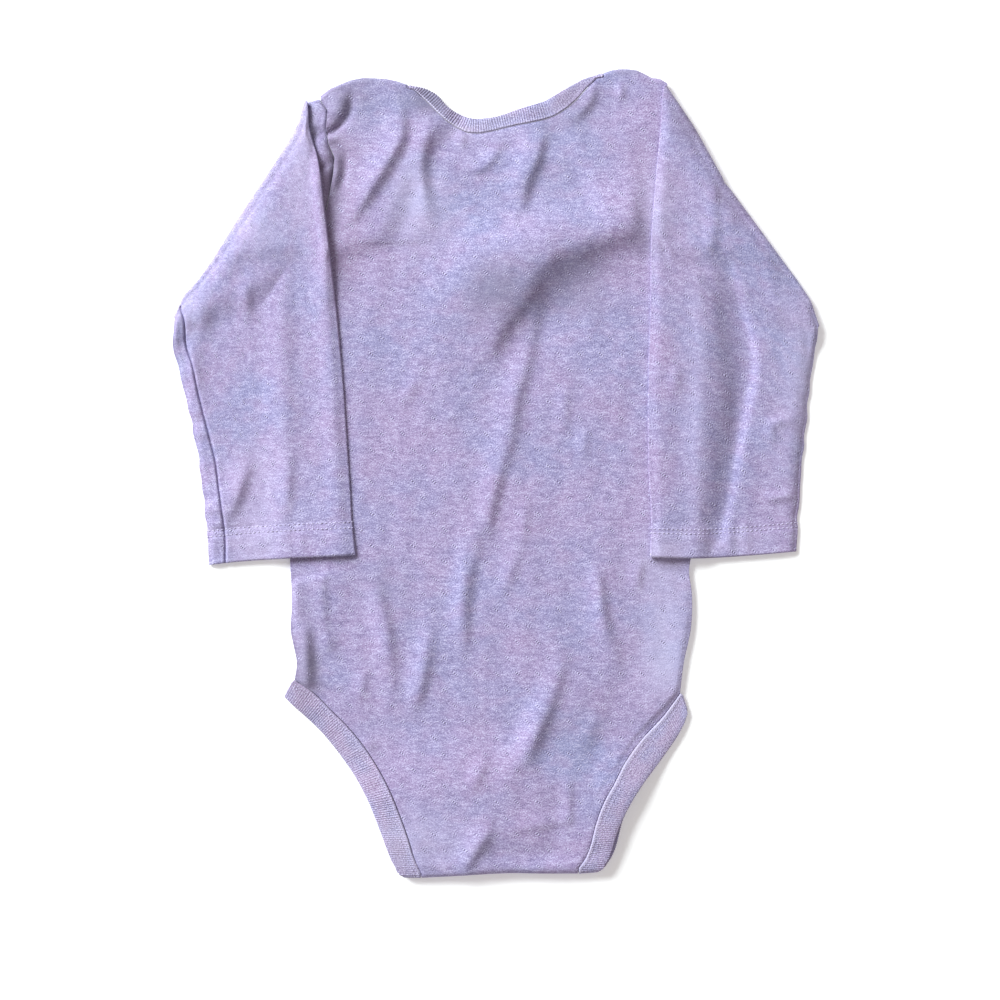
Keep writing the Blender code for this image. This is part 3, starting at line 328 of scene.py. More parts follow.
# --- the garment's plan and its layers ------------------------------------------------------------
@dataclass(frozen=True)
class Plan:
    """The garment's outline as it lies, and the heights of its stacked layers."""

    wall: float = 1.2                   # the plain solids' cloth
    gap: float = 0.3                    # between two layers, and at a seam
    puff: float = 2.2                   # how far the back stands off the front in the middle
    puff_reach: float = 22.0
    puff_top: float = 186.0
    puff_foot: float = -200.0
    shoulder_lift: float = 1.8          # rise of the back over the lapped shoulder flaps
    shoulder_bend: float = 1.65         # middle radius of the shoulder's fold
    crotch_bend: float = 1.9
    fold_swell: float = 2.0             # extra height of the crotch fold, and how far it spreads
    fold_spread: float = 7.0
    lap_clear: float = 17.0
    lap_slope: float = 8.0
    lap_foot: float = 136.0
    tab_lift: float = 1.2               # the front's tab lies this high, on the caps of the snaps
    tab_level_from: float = -165.0
    tab_slope: float = 18.0
    flap_lift: float = 4.0              # and the back's flap this high, on the tab
    flap_foot: float = -199.0
    flap_slope: float = 18.0
    flap_rounding: float = 2.2
    flap_level_to: float = -160.0
    flap_end_slope: float = 36.0
    flap_puff_loss: float = 0.6
    snap_row: float = -176.0
    snap_spacing: float = 25.0
    snap_middle: float = 3.0
    neck_corners: tuple[float, float] = (0.24, 0.80)    # the neckline's ends, by share of the way over
    leg_seam: BothSides = BothSides(
        stations((-37.5, -202), (-39.8, -196.3), (-43.6, -183.3), (-48.2, -170.3), (-54.3, -155.8),
            (-61.2, -143.5), (-73.5, -127.2), (-82.7, -118), (-90.3, -110.3), (-101, -102.9)),
        stations((40.8, -199.4), (43.8, -194.1), (46.5, -186.4), (49.2, -175.7), (53, -165), (58.4, -155),
            (64.5, -143.5), (72.9, -132.1), (83.6, -120.6), (91.8, -109.5)))
    leg_outer: BothSides = BothSides(
        stations((-50.5, -199.4), (-54.3, -189.5), (-59.7, -174.9), (-65.8, -160.4), (-72.7, -148.1),
            (-78.1, -140.2), (-87.3, -129.5), (-97.8, -119.6), (-106.6, -112.6)),
        stations((55.5, -196), (58.7, -184.9), (60.7, -178.7), (66.8, -165.7), (72.9, -155.8), (82.1, -143.5),
            (90.8, -131), (96, -121.5)))
    side_seam: BothSides = BothSides(
        stations((-101, -102.9), (-99.9, -94.3), (-101, -88.1), (-102.9, -78.9), (-102.4, -66),
            (-103.3, -42.2), (-103.8, 5), (-103.6, 60), (-102.8, 106.5)),
        stations((91.8, -109.5), (93.6, -95), (97.4, -75.9), (97.6, -58.3), (96.3, -48.3), (97.6, -40),
            (98.8, 5), (99.8, 60), (100, 106)))
    armhole: BothSides = BothSides(
        stations((-102.8, 106.5), (-92.5, 117.5), (-86, 129), (-83.7, 138), (-82.4, 146.8), (-80.6, 156.5),
            (-83.4, 164), (-85.6, 170.5), (-84, 178.5), (-85.8, 185.6), (-88, 189.2)),
        stations((100, 106), (92.5, 117.5), (87.5, 129), (85.2, 141), (84.4, 155), (84.8, 170), (86, 184),
            (85.4, 195.6)))
    shoulder_fold: BothSides = BothSides(
        stations((-88, 189.2), (-83.5, 192.6), (-77, 195.4), (-70, 197.9), (-62, 198.1), (-52.9, 197.4),
            (-44.5, 194.8)),
        stations((53.5, 200.7), (58.4, 202.2), (65.3, 202.6), (73, 201), (76.4, 198.4), (80.6, 198.2),
            (85.4, 195.6)))
    back_neck_seam: Edge = stations((-44.5, 194.8), (-35.3, 186.4), (-26.1, 177.2), (-18.5, 172.2),
        (-12.4, 170), (-4.7, 170.9), (8.4, 174.1), (18.3, 176), (28.3, 178.6), (37.4, 184.4), (44.3, 191.7),
        (53.5, 200.7))
    back_neck_outer: Edge = stations((-35.3, 192.9), (-29.6, 189.8), (-24.6, 184.1), (-18.5, 180.2),
        (-12.4, 178.1), (-4.7, 178.3), (3, 180.1), (12.2, 183.3), (24.4, 187.1), (35.1, 193.2), (44.3, 197.9))
    crotch_fold: Edge = stations((-37.5, -202), (-25.3, -201.3), (-6.1, -199.8), (5.6, -199.2),
        (22.4, -199.4), (40.8, -199.4))
    lap_edge: BothSides = BothSides(
        stations((-44.5, 192), (-55, 179), (-64.5, 164), (-71, 150), (-75, 138)),
        stations((51, 197), (58, 184), (65.5, 168), (71.5, 154), (76, 140)))
    front_leg_seam: BothSides = BothSides(
        stations((-43.5, -190), (-47.5, -176), (-55, -157), (-66, -139), (-79, -122.5), (-90, -111),
            (-101, -102.9)),
        stations((46.5, -188.5), (50.5, -174), (58.5, -154.5), (70, -136), (82, -121), (91.8, -109.5)))
    front_hem: Edge = stations((-43.5, -190), (1.5, -188.5), (46.5, -188.5))
    front_ear_top: BothSides = BothSides(
        stations((-77, 188), (-70, 190), (-63, 190)),
        stations((63, 193.5), (70, 193.5), (78, 191)))
    front_neck_seam: Edge = stations((-63, 190), (-52, 176), (-37, 158.5), (-18, 146.5), (3, 142), (24, 147),
        (42, 160), (55, 178), (63, 193.5))
    sleeve_fold: BothSides = BothSides(
        stations((-96.2, 187.6), (-98, 180.2), (-100.2, 172.6), (-103.8, 166.8), (-108.3, 159.7),
            (-128.3, 129.5), (-149.5, 97), (-158.6, 86.5), (-161.4, 79)),
        stations((85.2, 195.6), (91.3, 185.2), (98.9, 173.8), (106.6, 160), (111.2, 151.6), (130.4, 124.3),
            (150.2, 97.4), (156, 89.5), (161.4, 74.5)))
    sleeve_inner: BothSides = BothSides(
        stations((-96.2, 187.6), (-95.3, 183.8), (-93.1, 172.2), (-91.3, 165.5), (-89.1, 158.8),
            (-87.7, 151.2), (-86, 137), (-81.4, 97), (-78.3, 66.4), (-76.4, 43.5), (-74.9, 20.5), (-73, -8.9),
            (-72.2, -22.7), (-70.3, -40.7)),
        stations((85.2, 195.6), (82.9, 186), (81.3, 169.2), (79.8, 153.9), (78.3, 135.5), (77.1, 120.2),
            (76.7, 92), (75.5, 37), (76, -1.3), (77.2, -20.4), (76.6, -41.9)))
    sleeve_outer: BothSides = BothSides(
        stations((-161.4, 79), (-161.9, 64), (-159.2, 52.9), (-156.8, 43.5), (-153.4, 29.7), (-151.1, 16.7),
            (-148.2, 1.4), (-146.5, -16.3), (-144.9, -26), (-143.8, -45.5)),
        stations((161.4, 74.5), (160.6, 66.5), (159, 58), (157.4, 47.3), (154.9, 25.8), (153.2, 5.2),
            (151.7, -15.1), (150.7, -24), (150.7, -38.8)))
    cuff_end: BothSides = BothSides(
        stations((-70.3, -40.7), (-103.2, -42.2), (-135.4, -44.5), (-143.8, -45.5)),
        stations((76.6, -41.9), (101.5, -42.2), (128.3, -40.7), (150.5, -38.8)))
    main_creases: tuple[Crease, ...] = (
        crease(3.4, 3.2, 7, (-48.3, 184), (-47.8, 169), (-54.3, 156), (-63.8, 141), (-73, 127)),
        crease(1.8, 3.2, 5, (-33.5, 173), (-36.8, 158), (-36.3, 146), (-31.5, 128)),
        crease(2.4, 3.6, 9, (23.3, 171), (18.8, 157), (14, 146), (11.5, 134)),
        crease(3.6, 9, 20, (78, 131), (49.3, 121), (26.8, 110), (12.8, 95), (1.8, 78), (-7, 61)),
        crease(2.2, 4, 7, (20.8, 92), (18.8, 79), (13.8, 53), (8.8, 37), (5.8, 17), (-2.3, -9), (-5.5, -25)),
        crease(1.7, 3.6, 6, (-11.8, -24), (-11, -38), (-14.5, -53), (-16.3, -70), (-16, -86)),
        crease(1.6, 3.6, 6, (-33.5, -82), (-35.8, -98), (-41.5, -118)),
        crease(1.5, 4, 7, (-60, -56), (-54.5, -82), (-52.3, -110)),
        crease(1.5, 3.6, 5, (50.3, -50), (52.5, -66), (56, -81), (61, -97)),
        crease(2.4, 4, 7, (31.8, -93), (28.3, -108), (23.8, -120), (18.8, -132), (12.8, -144)),
        crease(1.2, 3.4, 5, (-3.5, -177), (-9.5, -187), (-15, -195)))
    # where the cloth is rosier, or cooler if the amount is below zero: partly an uneven tint of the cloth,
    # partly painted shade, rosier where shade falls, and painted light, cooler where it is lit
    wash_and_light_tint: tuple[Patch, ...] = patches(
        (2, 147, 34, 42, -1), (42, -143, 22, 28, -1.1), (135, 70, 25, 60, -0.8),
        (-130, 60, 30, 45, -0.4), (-80, 140, 8, 34, 1.5), (72, 172, 10, 26, 0.9), (84, 60, 12, 62, 0.6),
        (-20, -150, 40, 50, 0.5), (-50, -20, 40, 30, 0.3), (52, 112, 34, 14, 0.5), (-38, -180, 24, 18, -0.9),
        (90, -85, 14, 40, -0.7), (-97, -88, 10, 30, 0.9), (-10, 184, 56, 9, -1), (-76, 116, 8, 26, 1),
        (60, 196, 22, 12, -1))
    # painted light and shade: paler where light is painted on, and darker where shade is painted on, which is
    # where the amount is below zero
    painted_light_and_shade: tuple[Patch, ...] = patches(
        (31.8, 177, 18, 14, -0.26), (24, 142, 18, 18, -0.2),
        (-0.8, 87, 19, 15, -0.36), (39, 90, 16, 12, -0.24), (-40.8, 142, 12, 24, 0.32),
        (-18, 172, 16, 8, 0.18), (79, 132, 10, 22, 0.26), (-82, 148, 5.5, 34, -0.4), (-98, 152, 7, 34, 0.22),
        (-121, -33, 16, 22, 0.26), (102, 47, 9, 90, 0.14), (147, 47, 12, 80, 0.12), (39, -133, 12, 18, -0.22),
        (-38, -183, 20, 14, 0.26), (-97, -88, 8, 28, -0.36), (85, -74, 14, 34, 0.32), (16, 183, 32, 9, 0.24),
        (-33, 188, 12, 8, -0.85), (-91, 178, 5, 14, 0.24), (-30, 128, 20, 16, 0.1), (-38, 166, 14, 14, -0.16),
        (-76, 150, 11, 50, -0.3), (100, 178, 12, 14, -0.46), (42, 184, 12, 10, -0.38), (2, 98, 16, 15, -0.32),
        (122, 100, 14, 14, -0.1), (158, 46, 8, 28, 0.36), (-76, 190, 14, 10, -0.3), (-58, 180, 12, 10, -0.18),
        (-16, 184, 10, 8, -0.28), (22, 180, 14, 12, -0.18), (122, 142, 14, 12, -0.25),
        (42, 103, 14, 10, -0.3), (42, 84, 14, 10, -0.14), (82, -42, 14, 10, 0.24), (84, -98, 10, 14, 0.28),
        (66, 202, 20, 2.6, -0.45), (-64, 198.5, 18, 2.6, -0.45), (-98, -98, 8, 12, -0.26),
        (-58, -56, 14, 12, -0.2), (-62, -138, 12, 14, -0.18), (62, -176, 8, 10, -0.2),
        (120, -36, 14, 10, 0.2), (-161, 64, 6, 14, -0.25), (-97, -56, 8, 14, -0.16), (-91, -96, 5, 14, -0.3),
        (-118, 122, 14, 12, 0.22), (-156, 80, 10, 13, 0.24), (-118, 4, 14, 14, 0.14),
        (-80, -137, 12, 12, -0.2), (114, 40, 7, 60, -0.26), (-98, -122, 8, 6, -0.34))

    bulges: tuple[Crease, ...] = (
        crease(4.2, 24, 16, (71.8, 130), (44.2, 123), (16.8, 115), (-2.2, 106), (-16.2, 92), (-24.2, 72)),
        crease(1.7, 10, 10, (79.8, 166), (79.8, 142), (79.2, 118)))

    def tint_at(self, table: Sequence[Patch], across: Array, along: Array) -> Array:
        """The sum of a table's soft patches at each point."""
        return sum(spot.amount * hump(across - spot.across, spot.reach_across)
                   * hump(along - spot.along, spot.reach_along) for spot in table)

    def offset(self) -> Array:
        """The plan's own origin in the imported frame, read from the middle snap.

        Returns:
            The origin, in millimetres.
        """
        low, high = (np.array(corner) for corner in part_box("snap_cap_middle"))
        middle = (low + high) / 2 / METRES
        return np.array([middle[0] - self.snap_middle, middle[1] - self.snap_row, low[2] / METRES])

    def side_at(self, side: Side, along: Array) -> Array:
        """The body's outline on one side.

        Args:
            side: which side.
            along: places along the garment.

        Returns:
            The outline's place across, at each of them.
        """
        edge = join_lines(*(smooth_line(table[side], COARSE)
                            for table in (self.leg_seam, self.side_seam, self.armhole)))
        return np.interp(along, edge[:, 1], edge[:, 0])

    def inside(self, across: Array, along: Array) -> Array:
        """Distance in from the body's nearer side."""
        return np.minimum(across - self.side_at(Side.LEFT, along), self.side_at(Side.RIGHT, along) - across)

    def lap_distance(self, across: Array, along: Array) -> Array:
        """Distance inside the nearer shoulder flap's edge.

        Args:
            across: places across the garment.
            along: places along it.

        Returns:
            The distance at each place, below zero outside the flaps.
        """
        left, right = (line_distance(across, along, smooth_line(self.lap_edge[side], COARSE))[0]
                       for side in Side)
        return np.minimum(np.where(across < 0, -left, right), along - self.lap_foot)

    def front_floor(self, across: Array, along: Array) -> Array:
        """Underside of the front panel, which rises over the shoulder flaps and the caps of the snaps.

        Args:
            across: places across the garment.
            along: places along it.

        Returns:
            The height at each place.
        """
        lap = ease((self.lap_distance(across, along) + self.lap_clear + self.lap_slope) / self.lap_slope)
        return ((self.wall + self.gap) * lap
                + self.tab_lift * (1.0 - ease((along - self.tab_level_from) / self.tab_slope)))

    def flap_floor(self, along: Array) -> Array:
        """Underside of the crotch flap, which lies over the front's tab and comes down at the crotch fold."""
        risen = np.clip((along - self.flap_foot) / self.flap_slope, 0.0, 1.0)
        return self.flap_lift * (1.0 - (1.0 - risen) ** self.flap_rounding)

    def beside_sleeves(self, across: Array, along: Array) -> Array:
        """Distance in from the folded sleeves' inner edges, or from the side seams below the cuffs.

        Args:
            across: places across the garment.
            along: places along it.

        Returns:
            The distance at each point.
        """
        cuff_clear, blend = 14.0, 9.0
        cuff = self.sleeve_inner.left[-1].along
        below = 1.0 - ease((along - cuff + cuff_clear) / blend)
        inner = []
        for side in Side:
            sleeve = smooth_line(self.sleeve_inner[side], COARSE)[::-1]
            edge = np.interp(along, sleeve[:, 1], sleeve[:, 0])
            inner.append(edge + (self.side_at(side, along) - edge) * below)
        return np.minimum(across - inner[0], inner[1] - across)

    def back_floor(self, across: Array, along: Array, folded: bool = True) -> Array:
        """Underside of the back panel.

        Args:
            across: places across the garment.
            along: places along it.
            folded: whether the main creases are counted.

        Returns:
            The height at each point.
        """
        neck_drop, drop_from, drop_beside, drop_slope = 1.0, 156.0, 20.0, 12.0
        crease_margin, crease_slope = 1.5, 9.0
        swell = ease(self.inside(across, along) / self.puff_reach)
        swell = swell * ease((self.puff_top - along) / self.puff_reach)
        swell = swell * ease((along - self.puff_foot) / self.puff_reach)
        lap = self.lap_distance(across, along)
        lift = self.shoulder_lift * ease((lap + self.lap_clear + 2 * self.lap_slope) / (1.5 * self.lap_slope))
        over_flap = 1.0 - ease((along - self.flap_level_to) / self.flap_end_slope)
        height = self.wall + self.gap + self.puff * swell * (1 - self.flap_puff_loss * over_flap) + lift
        height = height + (self.flap_floor(along) + self.gap) * over_flap
        height = height + self.fold_swell * hump(along - self.flap_foot, self.fold_spread)
        neck = ease((along - drop_from) / drop_slope) * ease((-lap - drop_beside) / drop_slope)
        height = height - neck_drop * neck
        if folded:
            away = ease((self.beside_sleeves(across, along) - crease_margin) / crease_slope)
            height = height + crease_height(across, along, self.main_creases) * away
        return height

    def armhole_line(self, side: Side, shares: Array) -> Array:
        """The armhole from underarm to shoulder, which the panels, the flaps and the sleeve all share.

        Args:
            side: which armhole.
            shares: where the points lie, from 0 to 1.

        Returns:
            The points in plan.
        """
        line = walk(smooth_line(self.armhole[side], CAD_ARMHOLE + 1), shares)
        last_row = np.clip(shares * CAD_ARMHOLE - (CAD_ARMHOLE - 1), 0.0, 1.0)
        line[:, 1] -= (self.shoulder_bend + self.wall / 2) * last_row
        return line


PLAN = Plan()


# --- meshes ---------------------------------------------------------------------------------------
@dataclass
class Sheet:
    """A cloth surface as a grid of points, with the cloth's own flat coordinates beside them."""

    points: Array                   # by row and column, in millimetres
    flat: Array                     # the same points on the uncut cloth
    keep: Optional[Array] = None    # which points are there; all of them if left out
    tube: bool = False              # whether the last column meets the first
    pale: Optional[Array] = None    # how much paler each point is than the plan says: its pale seam thread and a painted highlight

    def build(self, name: str, finish: bpy.types.Material, thickness: float = 0.0) -> bpy.types.Object:
        """Makes the surface from a grid, and gives it a wall if it has a thickness.

        Args:
            name: the new object's name.
            finish: its material.
            thickness: the wall's, in millimetres, which goes inwards.

        Returns:
            The new object.
        """
        rows, columns = self.points.shape[:2]
        tool = bmesh.new()
        cloth = tool.loops.layers.uv.new("cloth")
        tints = [tool.verts.layers.float.new(tint) for tint in ("wash_and_light_tint", "painted_light_and_shade")]
        bmesh.ops.create_grid(tool, x_segments=columns - 1, y_segments=rows - 1, size=0.5)
        tool.verts.ensure_lookup_table()
        places = self.points.reshape(-1, 3)
        places = (point3(places[:, :2], np.maximum(places[:, 2], 0.0)) + PLAN.offset()) * METRES
        flat = self.flat.reshape(-1, 2) * METRES
        across, along = self.points[..., 0].reshape(-1), self.points[..., 1].reshape(-1)
        # each point's tint, partly painted shade and light, and its painted light and shade
        amounts = [PLAN.tint_at(table, across, along) for table in (PLAN.wash_and_light_tint, PLAN.painted_light_and_shade)]
        if self.pale is not None:
            amounts[1] = amounts[1] + self.pale.reshape(-1)
        for vertex, spot, wash_and_light_tint, painted_light_and_shade in zip(tool.verts, places, *amounts):
            vertex.co = spot
            vertex[tints[0]], vertex[tints[1]] = wash_and_light_tint, painted_light_and_shade
        for face in tool.faces:
            for loop in face.loops:
                loop[cloth].uv = flat[loop.vert.index]
        if self.keep is not None:
            there = self.keep.reshape(-1)
            lost = [vertex for vertex in tool.verts if not there[vertex.index]]
            bmesh.ops.delete(tool, geom=lost, context="VERTS")
        if self.tube:
            bmesh.ops.remove_doubles(tool, verts=tool.verts, dist=1e-7)
        piece = add_object(name, tool, finish)
        if thickness:
            wall = piece.modifiers.new("wall", "SOLIDIFY")
            wall.thickness = thickness * METRES
            wall.offset = -1.0
        return piece


def add_object(name: str, tool: bmesh.types.BMesh, finish: bpy.types.Material) -> bpy.types.Object:
    """Turns a bmesh into a smooth object with one finish.

    Args:
        name: the new object's name.
        tool: its mesh, which is freed.
        finish: its material.

    Returns:
        The new object.
    """
    mesh = bpy.data.meshes.new(name)
    tool.to_mesh(mesh)
    tool.free()
    mesh.shade_smooth()
    mesh.materials.append(finish)
    piece = bpy.data.objects.new(name, mesh)
    bpy.context.scene.collection.objects.link(piece)
    return piece


def point3(plan: Array, height: Array) -> Array:
    """Points in space from their places in plan and their heights."""
    return np.concatenate([plan, height[..., None]], axis=-1)


def steps_towards_edge(count: int, span: float, fine: Sequence[float]) -> Array:
    """Shares of the way over a span in even steps and then finer ones, the one next to the edge last."""
    even = np.linspace(0.0, span - sum(fine), count + 1)
    return np.concatenate([even, even[-1] + np.cumsum(fine)]) / span


FINE_STEPS = (1.1, 0.8, 0.6, 0.45, 0.35)
INNER_STEPS = (1.2, 0.9, 0.7, 0.5, 0.4)


# --- finishes -------------------------------------------------------------------------------------
class Graph:
    """Short ways to add nodes to a material."""

    def __init__(self, name: str) -> None:
        """Starts a material with one shader.

        Args:
            name: the material's name.
        """
        self.material = bpy.data.materials.new(name)
        self.material.use_nodes = True
        self.tree = self.material.node_tree
        self.shader = self.tree.nodes["Principled BSDF"]

    def node(self, kind: str, inputs: Optional[dict] = None, **settings: object) -> bpy.types.Node:
        """Adds a node.

        Args:
            kind: the node's type, without its first word.
            inputs: values or sockets for its inputs, by name or number.
            settings: its properties.

        Returns:
            The new node.
        """
        new = self.tree.nodes.new("ShaderNode" + kind)
        for key, value in settings.items():
            setattr(new, key, value)
        for key, value in (inputs or {}).items():
            if isinstance(value, bpy.types.NodeSocket):
                self.tree.links.new(value, new.inputs[key])
            else:
                new.inputs[key].default_value = value
        return new

    def maths(self, operation: str, first: object, second: object = 0.0,
              third: object = 0.0) -> bpy.types.NodeSocket:
        """The result of one sum on values or sockets."""
        return self.node("Math", {0: first, 1: second, 2: third}, operation=operation).outputs[0]

    def grain(self, place: object, scale: tuple[float, float, float], detail: float = 1.0,
              turn: float = 0.0) -> bpy.types.NodeSocket:
        """Noise on the cloth's coordinates.

        Args:
            place: the socket with the coordinates.
            scale: waves in a metre, along each coordinate.
            detail: how many finer layers it has.
            turn: turn of its streaks, in radians.

        Returns:
            The noise, from 0 to 1.
        """
        spot = self.node("Mapping", {"Vector": place, "Rotation": (0.0, 0.0, turn), "Scale": scale})
        inputs = {"Vector": spot.outputs[0], "Scale": 1.0, "Detail": detail}
        return self.node("TexNoise", inputs).outputs["Fac"]

    def span(self, value: object, low: float, high: float, to_low: float = 0.0,
             to_high: float = 1.0) -> bpy.types.NodeSocket:
        """A value stretched from one range to another, and kept in it."""
        inputs = {"Value": value, "From Min": low, "From Max": high, "To Min": to_low, "To Max": to_high}
        return self.node("MapRange", inputs, interpolation_type="SMOOTHSTEP").outputs[0]

    def blend(self, share: object, first: object, second: object) -> bpy.types.NodeSocket:
        """Two colours mixed by a share."""
        mixer = self.node("Mix", {0: share, 6: first, 7: second}, data_type="RGBA")
        return mixer.outputs[2]

    def with_painted_light_and_shade(self, colour: object, pale: object, painted_shade_colour: object) -> bpy.types.NodeSocket:
        """A colour with painted light and shade: paler where light is painted on, darker where shade is
        painted on.

        Args:
            colour: the socket with the cloth's own colour.
            pale: the colour that painted light goes to.
            painted_shade_colour: the colour that painted shade goes to, where the painted light and shade is
                below zero.

        Returns:
            The socket with the new colour.
        """
        most_light, most_shade = 0.8, 0.6
        painted_light_and_shade = self.node("Attribute", attribute_name="painted_light_and_shade").outputs["Fac"]
        painted_light = self.maths("MINIMUM", self.maths("MAXIMUM", painted_light_and_shade, 0.0), most_light)
        colour = self.blend(painted_light, colour, pale)
        painted_shade = self.maths("MAXIMUM", self.maths("MULTIPLY", painted_light_and_shade, -1.0), 0.0)
        painted_shade = self.maths("MINIMUM", painted_shade, most_shade)
        return self.blend(painted_shade, colour, painted_shade_colour)

    def finish(self, colour: object, height: object, distance: float, sheen: float, roughness: float) -> None:
        """Joins colour and relief to the shader.

        Args:
            colour: the socket with the colour.
            height: the socket with the relief.
            distance: how deep the relief is, in millimetres.
            sheen: strength of the fibres' soft shine.
            roughness: the surface's roughness.
        """
        relief = self.node("Bump", {"Height": height, "Strength": 1.0, "Distance": distance * METRES})
        self.tree.links.new(relief.outputs[0], self.shader.inputs["Normal"])
        self.tree.links.new(colour, self.shader.inputs["Base Color"])
        values = {"Roughness": roughness, "Specular IOR Level": 0.2, "Sheen Weight": sheen,
                  "Sheen Roughness": 0.5}
        for name, value in values.items():
            self.shader.inputs[name].default_value = value


Colour = tuple[float, float, float, float]


@dataclass(frozen=True)
class HeatherJersey:
    """Fine jersey of mixed pale and coloured fibres, with small tuck marks in staggered rows."""

    pale: Colour = (0.580, 0.545, 0.765, 1.0)
    dark: Colour = (0.150, 0.122, 0.242, 1.0)
    rosy: Colour = (0.358, 0.262, 0.440, 1.0)
    cool: Colour = (0.262, 0.266, 0.464, 1.0)
    # the colour of painted shade
    painted_shade_colour: Colour = (0.165, 0.148, 0.215, 1.0)
    mark_pitch: float = 10.4            # from mark to mark in a row, and from row to row
    mark_rows: float = 8.0
    mark_size: float = 1.90
    mark_ticks: float = 1.45            # waves of a mark, across its slant and along it
    mark_knots: float = 2.5
    mark_slant: float = 0.75
    relief: float = 0.34

    def marks(self, graph: Graph, place: object) -> bpy.types.NodeSocket:
        """The small slanting marks, as a wave across each mark that is nothing between them.

        Args:
            graph: the material's nodes.
            place: the socket with the cloth's coordinates.

        Returns:
            The wave's value.
        """
        parts = graph.node("SeparateXYZ", {0: place}).outputs
        row = graph.maths("MULTIPLY", parts[1], 1 / (self.mark_rows * METRES))
        stagger = graph.maths("MULTIPLY", graph.maths("FLOOR", row), 0.5)
        column = graph.maths("MULTIPLY_ADD", parts[0], 1 / (self.mark_pitch * METRES), stagger)
        off_x = graph.maths("SUBTRACT", graph.maths("FRACT", column), 0.5)
        off_x = graph.maths("MULTIPLY", off_x, self.mark_pitch)
        off_y = graph.maths("SUBTRACT", graph.maths("FRACT", row), 0.5)
        off_y = graph.maths("MULTIPLY", off_y, self.mark_rows)
        bend = graph.grain(place, (300.0, 330.0, 1.0), detail=0.0, turn=0.5)
        bent = graph.maths("MULTIPLY_ADD", bend, 1.6, -0.8)
        slant = graph.maths("ADD", graph.maths("MULTIPLY_ADD", off_y, -self.mark_slant, off_x), bent)
        cross = graph.maths("ADD", graph.maths("MULTIPLY_ADD", off_x, self.mark_slant, off_y), bent)
        knots = graph.maths("COSINE", graph.maths("MULTIPLY", cross, 2 * math.pi / self.mark_knots))
        far = graph.maths("ADD", graph.maths("POWER", graph.maths("ABSOLUTE", off_x), 2.0),
                          graph.maths("POWER", graph.maths("ABSOLUTE", off_y), 2.0))
        window = graph.maths("EXPONENT", graph.maths("MULTIPLY", far, -1 / self.mark_size ** 2))
        wave = graph.maths("SINE", graph.maths("MULTIPLY", slant, 2 * math.pi / self.mark_ticks))
        uneven = graph.span(graph.grain(place, (110.0, 140.0, 1.0), turn=0.2), 0.35, 0.65, 0.45, 1.0)
        wave = graph.maths("MULTIPLY", wave, graph.maths("MULTIPLY_ADD", knots, 0.75, 0.45))
        return graph.maths("MULTIPLY", graph.maths("MULTIPLY", window, wave), uneven)

    def make(self) -> bpy.types.Material:
        """Builds the material.

        Returns:
            The material.
        """
        graph = Graph("heather_jersey")
        place = graph.node("UVMap", uv_map="cloth").outputs[0]
        mottle = graph.grain(place, (150.0, 290.0, 1.0), detail=3.0, turn=0.1)
        streaks = graph.grain(place, (330.0, 900.0, 1.0), detail=2.0)
        fleck = graph.grain(place, (1150.0, 1700.0, 1.0), turn=0.8)
        speck = graph.grain(place, (2000.0, 1900.0, 1.0), detail=0.0, turn=-0.4)
        cloud = graph.grain(place, (19.0, 23.0, 1.0), detail=3.0)
        blush = graph.grain(place, (75.0, 110.0, 1.0), detail=3.0, turn=0.3)
        yarn = graph.maths("MULTIPLY", streaks, 0.24)
        yarn = graph.maths("ADD", yarn, graph.maths("MULTIPLY", fleck, 0.34))
        yarn = graph.maths("MULTIPLY_ADD", speck, 0.24, graph.maths("MULTIPLY_ADD", mottle, 0.18, yarn))
        # rosier and cooler tint: random clouds, and patches that are partly an uneven tint, partly painted
        # shade (rosier) and painted light (cooler)
        wash_and_light_tint = graph.node("Attribute", attribute_name="wash_and_light_tint").outputs["Fac"]
        share = graph.maths("MULTIPLY_ADD", wash_and_light_tint, 0.32, graph.span(cloud, 0.34, 0.66, 0.22, 0.78))
        colour = graph.blend(share, self.cool, self.rosy)
        colour = graph.blend(graph.span(blush, 0.42, 0.70, to_high=0.50), colour, self.rosy)
        colour = graph.blend(graph.span(yarn, 0.48, 0.64, to_high=0.86), colour, self.pale)
        colour = graph.blend(graph.span(yarn, 0.50, 0.36, to_high=0.80), colour, self.dark)
        # painted light and shade from the cloth's patches
        colour = graph.with_painted_light_and_shade(colour, self.pale, self.painted_shade_colour)
        mark = self.marks(graph, place)
        # the marks' pale and dark ticks are painted light and shade on their small dents, lit on one side and
        # shaded on the other; their relief goes to the bump below
        colour = graph.blend(graph.span(mark, 0.04, 0.6, to_high=0.90), colour, self.pale)
        colour = graph.blend(graph.span(mark, -0.04, -0.6, to_high=0.85), colour, self.dark)
        height = graph.maths("MULTIPLY_ADD", mark, 0.45, yarn)
        graph.finish(colour, height, self.relief, sheen=0.15, roughness=0.9)
        return graph.material


